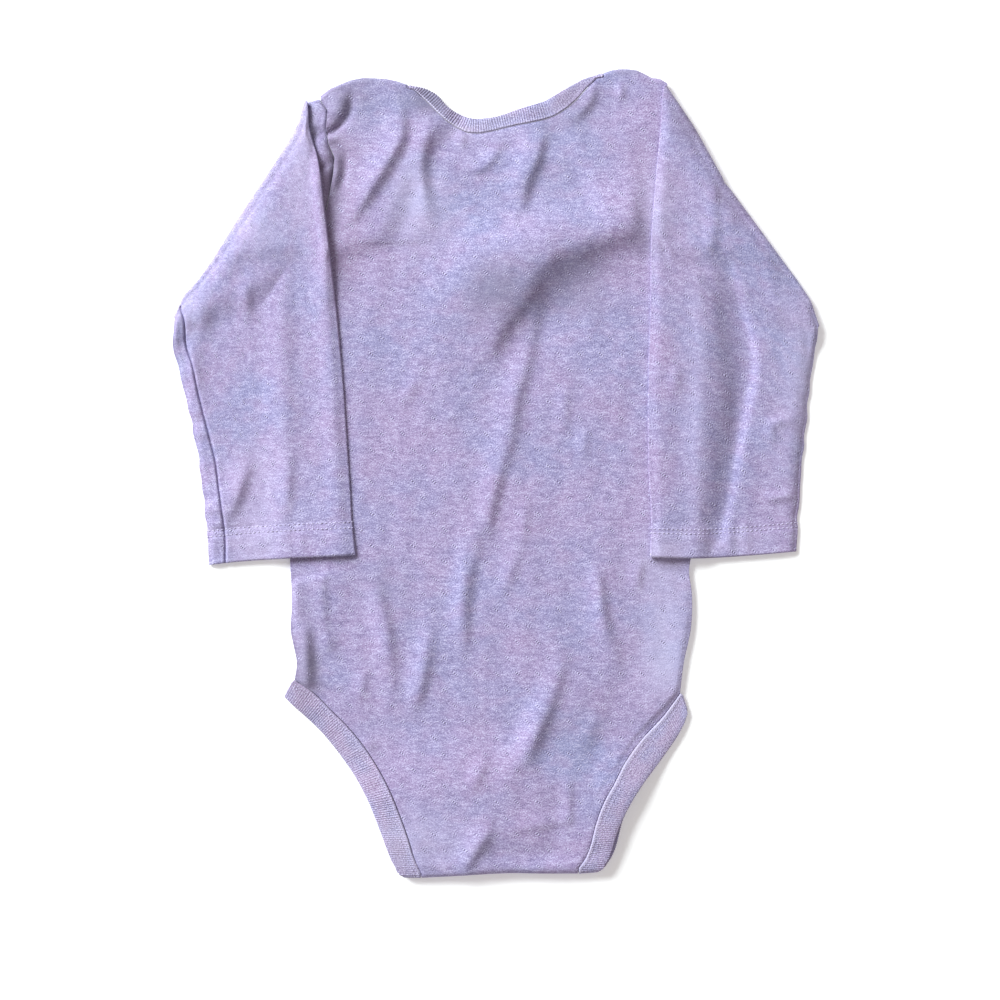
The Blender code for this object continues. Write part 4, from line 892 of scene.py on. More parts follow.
@dataclass(frozen=True)
class HeatherRib:
    """Rib knit of the same yarn, with painted shade between its ribs, which are in the mesh."""

    rosy: Colour = (0.405, 0.300, 0.470, 1.0)
    cool: Colour = (0.315, 0.300, 0.500, 1.0)
    pale: Colour = (0.600, 0.560, 0.740, 1.0)
    dark: Colour = (0.170, 0.135, 0.240, 1.0)
    # the colour of painted shade
    painted_shade_colour: Colour = (0.165, 0.148, 0.215, 1.0)
    relief: float = 0.22

    def make(self) -> bpy.types.Material:
        """Builds the material.

        Returns:
            The material.
        """
        graph = Graph("heather_rib")
        place = graph.node("UVMap", uv_map="cloth").outputs[0]
        along = graph.node("SeparateXYZ", {0: place}).outputs[0]
        rib = graph.maths("COSINE", graph.maths("MULTIPLY", along, 2 * math.pi / (RIB_COLOUR_PITCH * METRES)))
        fleck = graph.grain(place, (1100.0, 1400.0, 1.0))
        speck = graph.grain(place, (1900.0, 1900.0, 1.0), detail=0.0, turn=0.4)
        yarn = graph.maths("MULTIPLY_ADD", fleck, 0.55, graph.maths("MULTIPLY", speck, 0.45))
        cloud = graph.grain(place, (55.0, 90.0, 1.0), detail=3.0)
        # rosier and cooler tint: random clouds, and patches that are partly an uneven tint, partly painted
        # shade and painted light
        wash_and_light_tint = graph.node("Attribute", attribute_name="wash_and_light_tint").outputs["Fac"]
        share = graph.maths("MULTIPLY_ADD", wash_and_light_tint, 0.35, graph.span(cloud, 0.36, 0.64, 0.15, 0.95))
        colour = graph.blend(share, self.cool, self.rosy)
        colour = graph.blend(graph.span(yarn, 0.46, 0.64, to_high=0.75), colour, self.pale)
        colour = graph.blend(graph.span(yarn, 0.50, 0.36, to_high=0.70), colour, self.dark)
        # painted shade in the grooves between the ribs
        colour = graph.blend(graph.span(rib, 0.1, -1.0, to_high=0.18), colour, self.dark)
        # painted light and shade from the cloth's patches
        colour = graph.with_painted_light_and_shade(colour, self.pale, self.painted_shade_colour)
        graph.finish(colour, yarn, self.relief, sheen=0.15, roughness=0.9)
        return graph.material


@dataclass(frozen=True)
class SewingThread:
    """Pale spun thread of the cover stitches."""

    light: Colour = (0.62, 0.57, 0.76, 1.0)
    shade: Colour = (0.42, 0.37, 0.54, 1.0)

    def make(self) -> bpy.types.Material:
        """Builds the material.

        Returns:
            The material.
        """
        graph = Graph("sewing_thread")
        place = graph.node("TexCoord").outputs["Object"]
        twist = graph.grain(place, (2600.0, 1900.0, 1500.0))
        colour = graph.blend(graph.span(twist, 0.35, 0.65), self.shade, self.light)
        graph.finish(colour, twist, distance=0.08, sheen=0.2, roughness=0.7)
        return graph.material


@dataclass(frozen=True)
class SnapPlastic:
    """Moulded plastic of the snaps, with the faint waves and scuffs of a small moulding."""

    light: Colour = (0.68, 0.62, 0.72, 1.0)
    shade: Colour = (0.60, 0.54, 0.66, 1.0)

    def make(self) -> bpy.types.Material:
        """Builds the material.

        Returns:
            The material.
        """
        graph = Graph("snap_plastic")
        place = graph.node("TexCoord").outputs["Object"]
        flow = graph.grain(place, (180.0, 180.0, 180.0), detail=3.0)
        colour = graph.blend(graph.span(flow, 0.3, 0.7), self.shade, self.light)
        graph.finish(colour, flow, distance=0.03, sheen=0.0, roughness=0.32)
        graph.shader.inputs["Specular IOR Level"].default_value = 0.5
        return graph.material


@dataclass(frozen=True)
class Wardrobe:
    """All finishes of the garment, made once."""

    jersey: bpy.types.Material
    rib: bpy.types.Material
    thread: bpy.types.Material
    snap: bpy.types.Material


# --- panels ---------------------------------------------------------------------------------------
@dataclass
class BackPanel:
    """The back, with its crotch flap tucked inside and its shoulder flaps folded over onto the front."""

    thickness: float = 1.0
    shoulder_columns: int = 28
    neck_columns: int = 74
    leg_rows: int = 66
    side_rows: int = 122
    armhole_rows: int = 74
    bend_steps: int = 8
    lap_rows: int = 14
    corner_drop: float = 3.4            # how far along the neckline its corners still bend down
    right_reach: float = 55.0           # how far in from the right edge the cloth starts to slope down
    right_top: float = -30.0            # where that begins, coming down the garment
    seam_ditch: float = 0.22
    seam_ditch_width: float = 0.8
    right_fade: float = 30.0            # the stretch over which that comes in
    foot_fade: float = 12.0             # and the one over which it goes at the foot
    sleeve_start: float = 1.0           # how far under a sleeve the creases begin
    sleeve_fade: float = 4.0
    waves: tuple[Wave, ...] = (Wave(0.52, 0.45, 22.0, 3.1), Wave(0.32, 0.34, 8.5, 7.7))
    wave_fade: float = 12.0             # how far in from the sides the waves have their full height
    edge_waves: float = 0.35            # share of it that they have at the sides
    deepening: float = -0.10            # how much deeper the main creases are than in the plain solid
    tuck_share: float = 1 / 3           # share of the leg edge that the crotch flap reaches up inside
    cut: tuple[float, float] = (0.206, 0.500)
    cut_area: float = 0.0780
    seam_edges: dict = field(default_factory=dict)      # where bindings are sewn on, once it is built
    fine_creases: tuple[Crease, ...] = (
        crease(-1.5, 13, 11, (71.8, 106), (39.2, 93.5), (20.8, 74.5), (5.8, 53)),
        crease(1.2, 3, 9, (22.2, 96.5), (14.2, 86), (4.8, 74.5), (-3.8, 60)),
        crease(1.2, 5, 9, (75.8, 124), (51.8, 115.5), (32.8, 107)),
        crease(0.8, 2.2, 12, (-34.2, 118), (-50.8, 117), (-68.2, 117)),
        crease(1.1, 3, 12, (-35.2, 167), (-38.2, 154.5), (-36.8, 137), (-33.8, 119.5)),
        crease(1.6, 3, 3.6, (48.8, 195), (45.2, 184.5), (38.2, 178)),
        crease(1, 3, 8, (22.2, 171), (19.8, 157), (14.8, 142), (12.2, 132)),
        crease(1.1, 2.4, 4, (1.8, 165.5), (-2.8, 157), (-9.8, 152), (-17.2, 154)),
        crease(0.8, 2, 2.6, (-17.5, 171), (-17.5, 163)),
        crease(0.9, 1.8, 2.2, (61.8, 195), (62.8, 187)),
        crease(1.4, 2.6, 6, (-88.2, -43), (-87.2, -63), (-85.2, -85)),
        crease(3.4, 3.4, 3, (-96, -76), (-95.2, -92), (-94.6, -107)),
        crease(2.2, 14, 3, (-99.2, -46), (-100.2, -63), (-98.8, -83)),
        crease(1, 1.6, 15, (96.8, -46), (96.8, -73), (93.8, -93), (90.2, -107), (77.8, -121), (65.8, -134),
               (56.8, -149)),
        crease(1.6, 1.6, 7, (51.8, -199), (21.8, -199.5), (-13.2, -200), (-42.2, -201.5)),
        crease(1.4, 3.8, 6, (-4.2, -178), (-11.2, -188), (-17.2, -199)),
        crease(0.4, 4, 6, (-5.8, 51), (-15.2, 38), (-24.8, 24.5)),
        crease(0.8, 3, 4, (-40.2, 48), (-45.8, 36)),
        crease(0.9, 3, 4, (33.8, 44), (33.8, 21)),
        crease(0.8, 2.6, 3.4, (44.2, 22), (43.2, 7)),
        crease(0.9, 3, 5, (2.2, 2), (-2.2, -15.5), (-5.2, -33)),
        crease(0.8, 2.4, 4, (14.8, -13), (12.8, -35.5)),
        crease(0.8, 3, 5, (-16.2, -37), (-17.2, -63), (-16.2, -85.5)),
        crease(1, 3, 5, (-62.2, -53), (-56.2, -73), (-53.2, -93)),
        crease(1.1, 2.6, 5, (50.2, -46), (51.8, -63), (54.8, -83)),
        crease(0.9, 2.4, 4, (71.8, -43), (69.8, -58)),
        crease(0.7, 3, 4.4, (12.2, -37), (0.8, -63)),
        crease(0.8, 2.6, 5, (-33.2, -75.5), (-36.2, -93), (-39.2, -113)),
        crease(0.9, 2.4, 4, (-65.8, -98), (-68.2, -113)),
        crease(1.8, 7, 7, (23.8, -116), (16.8, -134), (8.8, -151)),
        crease(1.2, 4, 5, (48.8, -121), (44.2, -137)),
        crease(0.9, 3, 4, (-5.8, -143), (-13.2, -158)),
        crease(0.9, 2.4, 5, (39.8, -172), (23.8, -175), (5.8, -178)),
        crease(0.8, 2.2, 4, (35.8, -152), (36.2, -176)),
        crease(0.9, 3, 4, (-61.2, -133), (-67.2, -139)),
        crease(1.1, 3, 4, (-85.5, -80), (-82, -88)))
    armhole_creases: tuple[Crease, ...] = (
        crease(2.6, 4.4, 4.4, (-80, 191), (-78.8, 184), (-81.5, 177.5)),
        crease(-2, 1.6, 2.4, (-86.3, 170), (-80.8, 172.5), (-76.3, 177), (-73.3, 184), (-72.8, 190)),
        crease(-1.7, 0.9, 1.2, (-87.5, 169.2), (-82, 171.4), (-78, 174.8)),
        crease(0.9, 1.8, 1.8, (-86.5, 167), (-79, 167.5)),
        crease(1.4, 1.8, 2.4, (-80, 160), (-79.5, 152), (-81.5, 142)),
        crease(-1.3, 1.9, 2.4, (-74.6, 161), (-75.6, 152), (-78.3, 141)))

    def shares(self) -> Array:
        """Where the columns lie, with the neck corners on two of them.

        Returns:
            Each column's share of the way over.
        """
        shoulder_length = 46.0
        first, second = PLAN.neck_corners
        shoulder = steps_towards_edge(self.shoulder_columns, shoulder_length, FINE_STEPS)
        left = first * (1.0 - shoulder[::-1])
        neck = np.linspace(first, second, self.neck_columns + 1)
        right = second + (1.0 - second) * shoulder
        return np.concatenate([left, neck[1:], right[1:]])

    def height(self, plan: Array) -> Array:
        """Top of the back's cloth over a plan, with every crease and the drop at its seams.

        Args:
            plan: points in plan.

        Returns:
            The height at each point.
        """
        across, along = plan[..., 0], plan[..., 1]
        top = PLAN.back_floor(across, along) + PLAN.wall + crease_height(across, along, PLAN.bulges)
        right = PLAN.side_at(Side.RIGHT, along) - across
        flatter = ease(right / self.right_reach) - ease(right / PLAN.puff_reach)
        top = top + (PLAN.puff * flatter * ease((self.right_top - along) / self.right_fade)
                     * ease((along - PLAN.puff_foot) / self.foot_fade))
        open_cloth = ease((PLAN.beside_sleeves(across, along) + self.sleeve_start) / self.sleeve_fade)
        top = top + self.deepening * crease_height(across, along, PLAN.main_creases) * open_cloth
        top = top + crease_height(across, along, self.fine_creases) * open_cloth
        top = top + self.seam_relief(across, along)
        top = top + crease_height(across, along, self.armhole_creases)
        inside = ease(PLAN.inside(across, along) / self.wave_fade)
        full = self.edge_waves + (1.0 - self.edge_waves) * inside
        return top + unevenness(across, along, self.waves) * full * open_cloth

    def seam_relief(self, across: Array, along: Array) -> Array:
        """The ditch in the cloth's edge at the seams of its bindings.

        Args:
            across: places across the garment.
            along: places along it.

        Returns:
            The height that it adds at each place.
        """
        seams = [smooth_line(PLAN.back_neck_seam, 36),
                 *(smooth_line(PLAN.leg_seam[side], 30) for side in Side)]
        nearest = np.min([abs(line_distance(across, along, seam)[0]) for seam in seams], axis=0)
        return -self.seam_ditch * hump(nearest, self.seam_ditch_width)

    def build(self, wardrobe: Wardrobe) -> bpy.types.Object:
        """Builds the panel.

        Args:
            wardrobe: the garment's finishes.

        Returns:
            The new object.
        """
        sheet, self.seam_edges = self.surface()
        piece = sheet.build("back_panel_cloth", wardrobe.jersey, self.thickness)
        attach(piece, "root")
        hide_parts("back_panel")
        return piece

    def surface(self) -> tuple[Sheet, dict]:
        """Works out the panel's outer surface.

        Returns:
            The surface, and its plan edges with their outer points for what is sewn on.
        """
        share = self.shares()
        last = len(share) - 1
        first_corner = int(np.argmin(abs(share - PLAN.neck_corners[0])))
        last_corner = int(np.argmin(abs(share - PLAN.neck_corners[1])))
        armhole = steps_towards_edge(self.armhole_rows, 90.0, FINE_STEPS)
        rows = self.leg_rows + self.side_rows + len(armhole)
        sides = {side: join_lines(smooth_line(PLAN.leg_seam[side], self.leg_rows + 1),
                                  smooth_line(PLAN.side_seam[side], self.side_rows + 1),
                                  PLAN.armhole_line(side, armhole)) for side in Side}
        left_top = walk(smooth_line(PLAN.shoulder_fold[Side.LEFT], 9),
                        share[:first_corner + 1] / share[first_corner])
        neck = walk(smooth_line(PLAN.back_neck_seam, 19),
                    (share[first_corner:last_corner + 1] - share[first_corner])
                    / (share[last_corner] - share[first_corner]))
        right_top = walk(smooth_line(PLAN.shoulder_fold[Side.RIGHT], 9),
                         (share[last_corner:] - share[last_corner]) / (1.0 - share[last_corner]))
        top = join_lines(left_top, neck, right_top)
        bottom = walk(smooth_line(PLAN.crotch_fold, 35), share)
        ear = np.r_[0:first_corner + 1, last_corner:last + 1]
        top[ear, 1] -= PLAN.shoulder_bend + PLAN.wall / 2
        for column in range(first_corner + 1, last_corner):
            from_corner = min(abs(top[column, 0] - neck[0, 0]), abs(neck[-1, 0] - top[column, 0]))
            dropped = 1.0 - float(ease(from_corner / self.corner_drop))
            top[column, 1] -= (PLAN.shoulder_bend + PLAN.wall / 2) * dropped
        bottom[:, 1] += PLAN.crotch_bend + PLAN.wall / 2
        drawn_in = np.clip(1.0 - np.arange(self.leg_rows) / 8.0, 0.0, 1.0)
        for side, column in ((Side.LEFT, 0), (Side.RIGHT, last)):
            sides[side][:self.leg_rows, 1] += (PLAN.crotch_bend + PLAN.wall / 2) * drawn_in
            sides[side][-1] = top[column]
        number = np.arange(rows)
        bottom_pull = np.clip(1.0 - number / self.leg_rows, 0.0, 1.0)
        top_pull = np.concatenate([np.zeros(self.leg_rows + self.side_rows), armhole]) ** 1.3
        plan = patch(sides[Side.LEFT], sides[Side.RIGHT], bottom, top, np.tile(share, (rows, 1)), bottom_pull,
                     top_pull)
        upper = point3(plan, self.height(plan))
        body_flat = plan.copy()
        flap, flap_flat = self.crotch_flap(plan, upper)
        laps, laps_flat, ear_rows = self.shoulder_flaps(plan, upper, first_corner, last_corner)
        points = np.concatenate([flap, upper, laps])
        flat = np.concatenate([flap_flat, body_flat, laps_flat])
        keep = np.ones(points.shape[:2], dtype=bool)
        keep[-ear_rows:, first_corner + 1:last_corner] = False
        edges = {"flap": len(flap), "rows": rows, "corners": (first_corner, last_corner), "points": points}
        return Sheet(points, flat, keep), edges

    def bend(self, start: Array, outward: Array, level: Array, radius: Array) -> tuple[Array, Array]:
        """Rows of points round a fold that turns the cloth under itself.

        Args:
            start: plan points where the bend begins.
            outward: the way out, in plan.
            level: height of the wall's middle there.
            radius: the bend's middle radius at each point.

        Returns:
            The outer points by step, and the distance walked round the bend at each of them.
        """
        rings, walked = [], []
        for step in range(1, self.bend_steps + 1):
            angle = math.pi * step / self.bend_steps
            reach = (radius + PLAN.wall / 2)[:, None]
            plan = start + outward * reach * math.sin(angle)
            rings.append(point3(plan, level - radius + (radius + PLAN.wall / 2) * math.cos(angle)))
            walked.append((radius + PLAN.wall / 2) * angle)
        return np.array(rings), np.array(walked)

    def crotch_flap(self, plan: Array, upper: Array) -> tuple[Array, Array]:
        """The part that wraps round the crotch fold and tucks in above the front's tab, from its free end.

        Args:
            plan: the panel's points in plan.
            upper: the panel's outer points.

        Returns:
            The flap's outer points and their flat places, by row and column.
        """
        level = upper[0, :, 2] - PLAN.wall / 2
        radius = np.maximum((PLAN.back_floor(plan[0, :, 0], plan[0, :, 1], False)) / 2, 0.75)
        rings, walked = self.bend(plan[0], np.array([0.0, -1.0]), level, radius)
        inside_rows = np.arange(2, round(self.leg_rows * self.tuck_share) + 1, 2)
        inside = plan[inside_rows]
        flap = point3(inside, PLAN.flap_floor(inside[..., 1]))
        points = np.concatenate([rings, flap])[::-1]
        flat_bend = plan[0][None] - np.stack([0 * walked, walked], axis=-1)
        turned = flat_bend[-1][None] - (inside - plan[0][None]) * np.array([-1.0, 1.0])
        return points, np.concatenate([flat_bend, turned])[::-1]

    def shoulder_flaps(self, plan: Array, upper: Array, first_corner: int,
                       last_corner: int) -> tuple[Array, Array, int]:
        """Both flaps that fold over the shoulders and lie under the front.

        Args:
            plan: the panel's points in plan.
            upper: the panel's outer points.
            first_corner: the column of the left neck corner.
            last_corner: the column of the right neck corner.

        Returns:
            The outer points and their flat places by row and column, and the number of rows.
        """
        start = plan[-1]
        columns = start.shape[0]
        level = upper[-1, :, 2] - PLAN.wall / 2
        radius = PLAN.back_floor(start[:, 0], start[:, 1], False) / 2
        rings, walked = self.bend(start, np.array([0.0, 1.0]), level, radius)
        flat_bend = start[None] + np.stack([0 * walked, walked], axis=-1)
        lap = np.zeros((self.lap_rows, columns, 2))
        reach = np.linspace(0.0, 1.0, self.lap_rows + 1)[1:]
        armhole_share = (6 / CAD_ARMHOLE) * reach
        for side, edge, corner in ((Side.LEFT, 0, first_corner), (Side.RIGHT, columns - 1, last_corner)):
            ear = np.arange(min(edge, corner), max(edge, corner) + 1)
            share = abs(start[ear, 0] - start[edge, 0]) / abs(start[corner, 0] - start[edge, 0])
            line = PLAN.armhole_line(side, 1.0 - armhole_share)
            free = smooth_line([start[corner], *PLAN.lap_edge[side][1:]], self.lap_rows + 1)[1:]
            bow = start[ear] - (start[edge] * (1 - share[:, None]) + start[corner] * share[:, None])
            over = share[None, :, None]
            spread = line[:, None] * (1 - over) + free[:, None] * over
            lap[:, ear] = spread + bow[None] * (1 - reach)[:, None, None]
        points = np.concatenate([rings, point3(lap, np.zeros(lap.shape[:2]))])
        flat = np.concatenate([flat_bend, flat_bend[-1][None] + (start[None] - lap) * np.array([-1.0, 1.0])])
        return points, flat, len(points)


@dataclass
class FrontPanel:
    """The front, with its shoulder ears over the back's flaps and its crotch tab under the back's flap."""

    thickness: float = 1.0
    shoulder_columns: int = 12
    neck_columns: int = 44
    leg_rows: int = 36
    side_rows: int = 64
    armhole_rows: int = 26
    cut: tuple[float, float] = (0.206, 0.384)
    cut_area: float = 0.0640

    def surface(self) -> tuple[Array, Array, int]:
        """Works out the front's outer, lower surface.

        Returns:
            Its points by row and column, its plan, and the columns of each ear.
        """
        first, second = PLAN.neck_corners
        share = np.concatenate([np.linspace(0.0, first, self.shoulder_columns + 1),
                                np.linspace(first, second, self.neck_columns + 1)[1:],
                                np.linspace(second, 1.0, self.shoulder_columns + 1)[1:]])
        armhole = np.linspace(0.0, (CAD_ARMHOLE - 1) / CAD_ARMHOLE, self.armhole_rows + 1)
        sides = {side: join_lines(smooth_line(PLAN.front_leg_seam[side], self.leg_rows + 1),
                                  smooth_line(PLAN.side_seam[side], self.side_rows + 1),
                                  PLAN.armhole_line(side, armhole)) for side in Side}
        ears = ([sides[Side.LEFT][-1], *PLAN.front_ear_top.left],
                [*PLAN.front_ear_top.right, sides[Side.RIGHT][-1]])
        left_ear, right_ear = (smooth_line(ear, self.shoulder_columns + 1) for ear in ears)
        top = join_lines(left_ear, smooth_line(PLAN.front_neck_seam, self.neck_columns + 1), right_ear)
        bottom = walk(smooth_line(PLAN.front_hem, 18), share)
        rows = self.leg_rows + self.side_rows + self.armhole_rows + 1
        number = np.arange(rows)
        bottom_pull = np.clip(1.0 - number / self.leg_rows, 0.0, 1.0)
        top_pull = np.clip((number - self.leg_rows - self.side_rows) / self.armhole_rows, 0.0, 1.0) ** 1.3
        plan = patch(sides[Side.LEFT], sides[Side.RIGHT], bottom, top, np.tile(share, (rows, 1)), bottom_pull,
                     top_pull)
        return point3(plan, PLAN.front_floor(plan[..., 0], plan[..., 1])), plan, self.shoulder_columns

    def build(self, wardrobe: Wardrobe) -> bpy.types.Object:
        """Builds the panel, its right side facing down.

        Args:
            wardrobe: the garment's finishes.

        Returns:
            The new object.
        """
        points, plan, _ = self.surface()
        sheet = Sheet(points[:, ::-1], plan[:, ::-1])
        piece = sheet.build("front_panel_cloth", wardrobe.jersey, self.thickness)
        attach(piece, "root")
        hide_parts("front_panel")
        return piece


# --- sleeves --------------------------------------------------------------------------------------
@dataclass
class Sleeve:
    """One sleeve: a flattened tube that is folded down at the shoulder and ends in a turned hem."""

    side: Side
    creases: Sequence[Crease]
    standing: Sequence[Inset]           # how far the inner edge stands up, by share of the way down
    stitch_rows: tuple[float, float]    # how far the two rows of the hem's stitches lie from its end
    seam: Edge = ()                     # the underarm seam in plan, empty where it is out of sight
    head_creases: Sequence[Crease] = ()
    notches: Edge = ()                  # small dents in the folded edge
    thickness: float = 0.55
    room: float = 0.06                  # half the space between the two walls where they lie flat
    wall: float = 0.60
    puff: float = 1.5
    clear: float = 0.10
    walls_apart: float = -0.05          # the least rise of the upper wall over a sleeve that lies empty
    drape: float = 15.0
    smallest_fold: float = 1.1
    hem_depth: float = 16.0
    hem_lift: float = 0.4
    edge_waves: float = 0.9
    fold_share: float = 0.12            # share of the way down over which its puff and creases come in
    edge_share: float = 0.08            # share of the way over in which creases and waves fade at each edge
    puff_loss: float = 0.7              # share of the puff that is gone at the cuff
    fold_round: float = 0.9
    waves: tuple[Wave, ...] = (Wave(0.40, 0.45, 18.0, 11.3), Wave(0.24, 0.40, 8.0, 5.2))
    seam_ditch: float = 1.5
    seam_ditch_width: float = 0.45
    seam_ridge: float = 0.25            # the cloth's rise beside its seam
    seam_ridge_from: float = 1.6
    seam_ridge_width: float = 0.8
    strip_waves: float = 0.7            # height of the pucker on the strip behind the seam
    strip_drop: float = 0.15
    hem_step: float = 1.6               # the stretch over which the hem's turned edge rises
    stitch_dent: float = 0.45
    stitch_dent_width: float = 0.75
    tip_lift: float = 0.75              # how far the head's tip at the shoulder stands off the surface
    armhole_length: float = 90.0
    length: float = 225.0
    fine_reach: float = 20.0            # the stretch above the cuff's end with closer rows
    hem_rows: int = 34
    columns: int = 46
    seam_columns: int = 8
    rows: int = 140
    hidden_rows: int = 8
    bend_steps: int = 8
    cut: tuple[float, float] = (0.210, 0.262)
    cut_area: float = 0.0460
    sheet: Optional[Sheet] = None       # its skin, once it is built

    def under(self, across: Array, along: Array) -> Array:
        """Height of what the sleeve lies on: the body and the sleeve's own first part, then the surface.

        Args:
            across: places across the garment.
            along: places along it.

        Returns:
            The height at each point.
        """
        sign = self.side.value
        inside_body = sign * (PLAN.side_at(self.side, along) - across)
        armpit = np.array(PLAN.side_seam[self.side][-1])
        corner = np.array(PLAN.sleeve_fold[self.side][-1])
        way = (corner - armpit) / np.linalg.norm(corner - armpit)
        above_underarm = sign * (way[0] * (along - armpit[1]) - way[1] * (across - armpit[0]))
        inside = np.maximum(inside_body, above_underarm)
        level = PLAN.back_floor(across, along, folded=False) + crease_height(across, along, PLAN.bulges)
        level = level + PLAN.wall + self.clear
        return level * ease((inside + self.drape) / self.drape)

    def column_shares(self, seam: Array, width: Array) -> Array:
        """Each point's share of the way from the inner to the outer edge, with a column on the seam.

        Args:
            seam: the seam's share of the way over at each row.
            width: each row's width.

        Returns:
            The shares, by row and column.
        """
        fine = np.array([0.0, 0.25, 0.55, 1.0, 1.8])    # columns beside the seam, by distance from it
        inner_half = np.arange(2 * len(fine) - 3) < len(fine) - 1
        rows = []
        for place, size in zip(seam, width):
            tight = min(1.0, (1.0 - place) * size / 4.0)
            before = steps_towards_edge(self.columns, size * place, INNER_STEPS)
            before = (1.0 - before[::-1]) * (place - fine[-1] / size)
            ditch = np.concatenate([-fine[-2::-1], fine[1:-1]]) * np.where(inner_half, 1.0, tight)
            ditch = place + ditch / size
            after = np.linspace(place + fine[-1] * tight / size, 1.0, self.seam_columns + 1)
            rows.append(np.concatenate([before, ditch, after]))
        return np.array(rows)

    def raised(self, plan: Array, share: Array, steps: Array) -> Array:
        """Height of the upper wall over its resting level.

        Args:
            plan: the wall's points in plan.
            share: each point's share of the way over.
            steps: each row's share of the way down.

        Returns:
            The height at each point.
        """
        sign = self.side.value
        across, along = plan[..., 0], plan[..., 1]
        width = np.linalg.norm(plan[:, -1] - plan[:, 0], axis=1)[:, None]
        from_fold = ease(steps / self.fold_share)[:, None]
        from_edges = ease(np.minimum(share, 1 - share) / self.edge_share)
        puff = self.puff * np.sin(np.pi * share) ** 0.5 * (1 - self.puff_loss * steps[:, None])
        height = (puff + crease_height(across, along, self.creases) * from_edges) * from_fold
        near_edges = ease(share * width / 6.0) * ease((1.0 - share) * width / 2.5)
        height = height + self.fold_round * (1.0 - hump(steps * self.length, 6.0))[:, None] * near_edges
        stands = np.array(self.standing)
        standing = np.interp(steps, stands[:, 0], stands[:, 1])
        height = height + standing[:, None] * hump(share * width, 8.0)
        height = height + unevenness(across, along, self.waves, sign) * from_edges
        if len(self.seam):
            from_seam, _ = line_distance(across, along, smooth_line(self.seam, 60))
            height = (height - self.seam_ditch * hump(from_seam, self.seam_ditch_width)
                      + self.seam_ridge * hump(from_seam - self.seam_ridge_from, self.seam_ridge_width))
            strip = ease((-from_seam - 0.6) / 2.0)
            pucker = self.strip_waves * wander(along * 0.9, along * 0.25, 4.6, 2.5 * sign)
            height = height + strip * (pucker - self.strip_drop)
        lengths = np.linalg.norm(plan - plan[-1][None], axis=2)
        hem = self.hem_lift * ease((self.hem_depth - lengths) / self.hem_step + 0.5)
        for row in self.stitch_rows:
            hem = hem - self.stitch_dent * hump(lengths - row, self.stitch_dent_width)
        return height + hem

    def surface(self) -> Sheet:
        """Works out the sleeve's outer skin, from its armhole over its fold and down to its cuff.

        Returns:
            The skin, as a tube.
        """
        side, sign = self.side, self.side.value
        half = self.room + self.wall
        hem_start = 1.0 - self.fine_reach / self.length
        steps = np.concatenate([np.linspace(0.0, hem_start, self.rows - self.hem_rows + 1),
                                np.linspace(hem_start, 1.0, self.hem_rows + 1)[1:]])
        probes, outer_probes = 121, 70
        even = np.tile(np.linspace(0.0, 1.0, probes), (len(steps), 1))
        plan = self.spread_out(even, steps)[0]
        width = np.linalg.norm(plan[:, -1] - plan[:, 0], axis=1)
        seam = 1.0 - 0.3 / width
        if len(self.seam):
            off, _ = line_distance(plan[..., 0], plan[..., 1], smooth_line(self.seam, 60))
            seam = np.array([np.interp(0.0, -row[outer_probes:], even[0, outer_probes:]) for row in off])
            seam = np.minimum(seam, 1.0 - 0.3 / width)
        share = self.column_shares(seam, width)
        first = share[0]
        plan, axis, fold_away, tip, radius, upper = self.spread_out(share, steps)
        lower = np.full(len(first), half)
        flat_room = np.full(len(first), self.room)
        armhole = PLAN.armhole_line(side, 1.0 - first)
        armhole = armhole + plan_normals(armhole, (sign * FAR, 0.0)) * PLAN.gap
        armhole[:, 0] = sign * np.minimum(sign * armhole[:, 0], sign * axis[:, 0] - 0.3)
        first_top = PLAN.back_floor(armhole[:, 0], armhole[:, 1], folded=False)
        rest = self.under(plan[..., 0], plan[..., 1])
        raised = kept_above(self.raised(plan, share, steps), self.walls_apart - rest)
        rings = []
        for row in range(self.hidden_rows + 1):
            part = row / self.hidden_rows
            room = self.room + (first_top + PLAN.wall - PLAN.gap - 2 * half) / 2 * (1 - part)
            tip_up = self.tip_lift * hump(first * self.armhole_length, 8.0) * (1.0 - part ** 2)
            middles = point3(armhole * (1 - part) + axis * part, lower + room - self.room + tip_up)
            away = np.tile([0.0, 0.0, -1.0], (len(first), 1))
            gathered = crease_height(middles[:, 0], middles[:, 1], self.head_creases)
            gathered = kept_above(gathered, -2.0 * room, 0.3)
            rings.append(self.ring(middles, away, room, np.zeros(len(first)), gathered))
        for step in range(1, self.bend_steps):
            angle = math.pi * step / self.bend_steps
            out = fold_away * tip[:, None]
            middles = axis + out * (radius * math.sin(angle))[:, None]
            middles = point3(middles, lower + radius * (1 - math.cos(angle)))
            away = point3(out * math.sin(angle), np.full(len(first), -math.cos(angle)))
            rings.append(self.ring(middles, away, flat_room, np.zeros(len(first))))
        for row in range(self.rows + 1):
            settle = ease(steps[row] / 0.2)
            level = (rest[row] + half) * settle + np.maximum(rest[row] + half, upper) * (1 - settle)
            away = np.tile([0.0, 0.0, 1.0], (len(first), 1))
            rings.append(self.ring(point3(plan[row], level), away, flat_room, raised[row]))
        points = np.array(rings)
        if side is Side.RIGHT:
            points = points[:, ::-1]
        return Sheet(points, self.flat_places(points), tube=True)

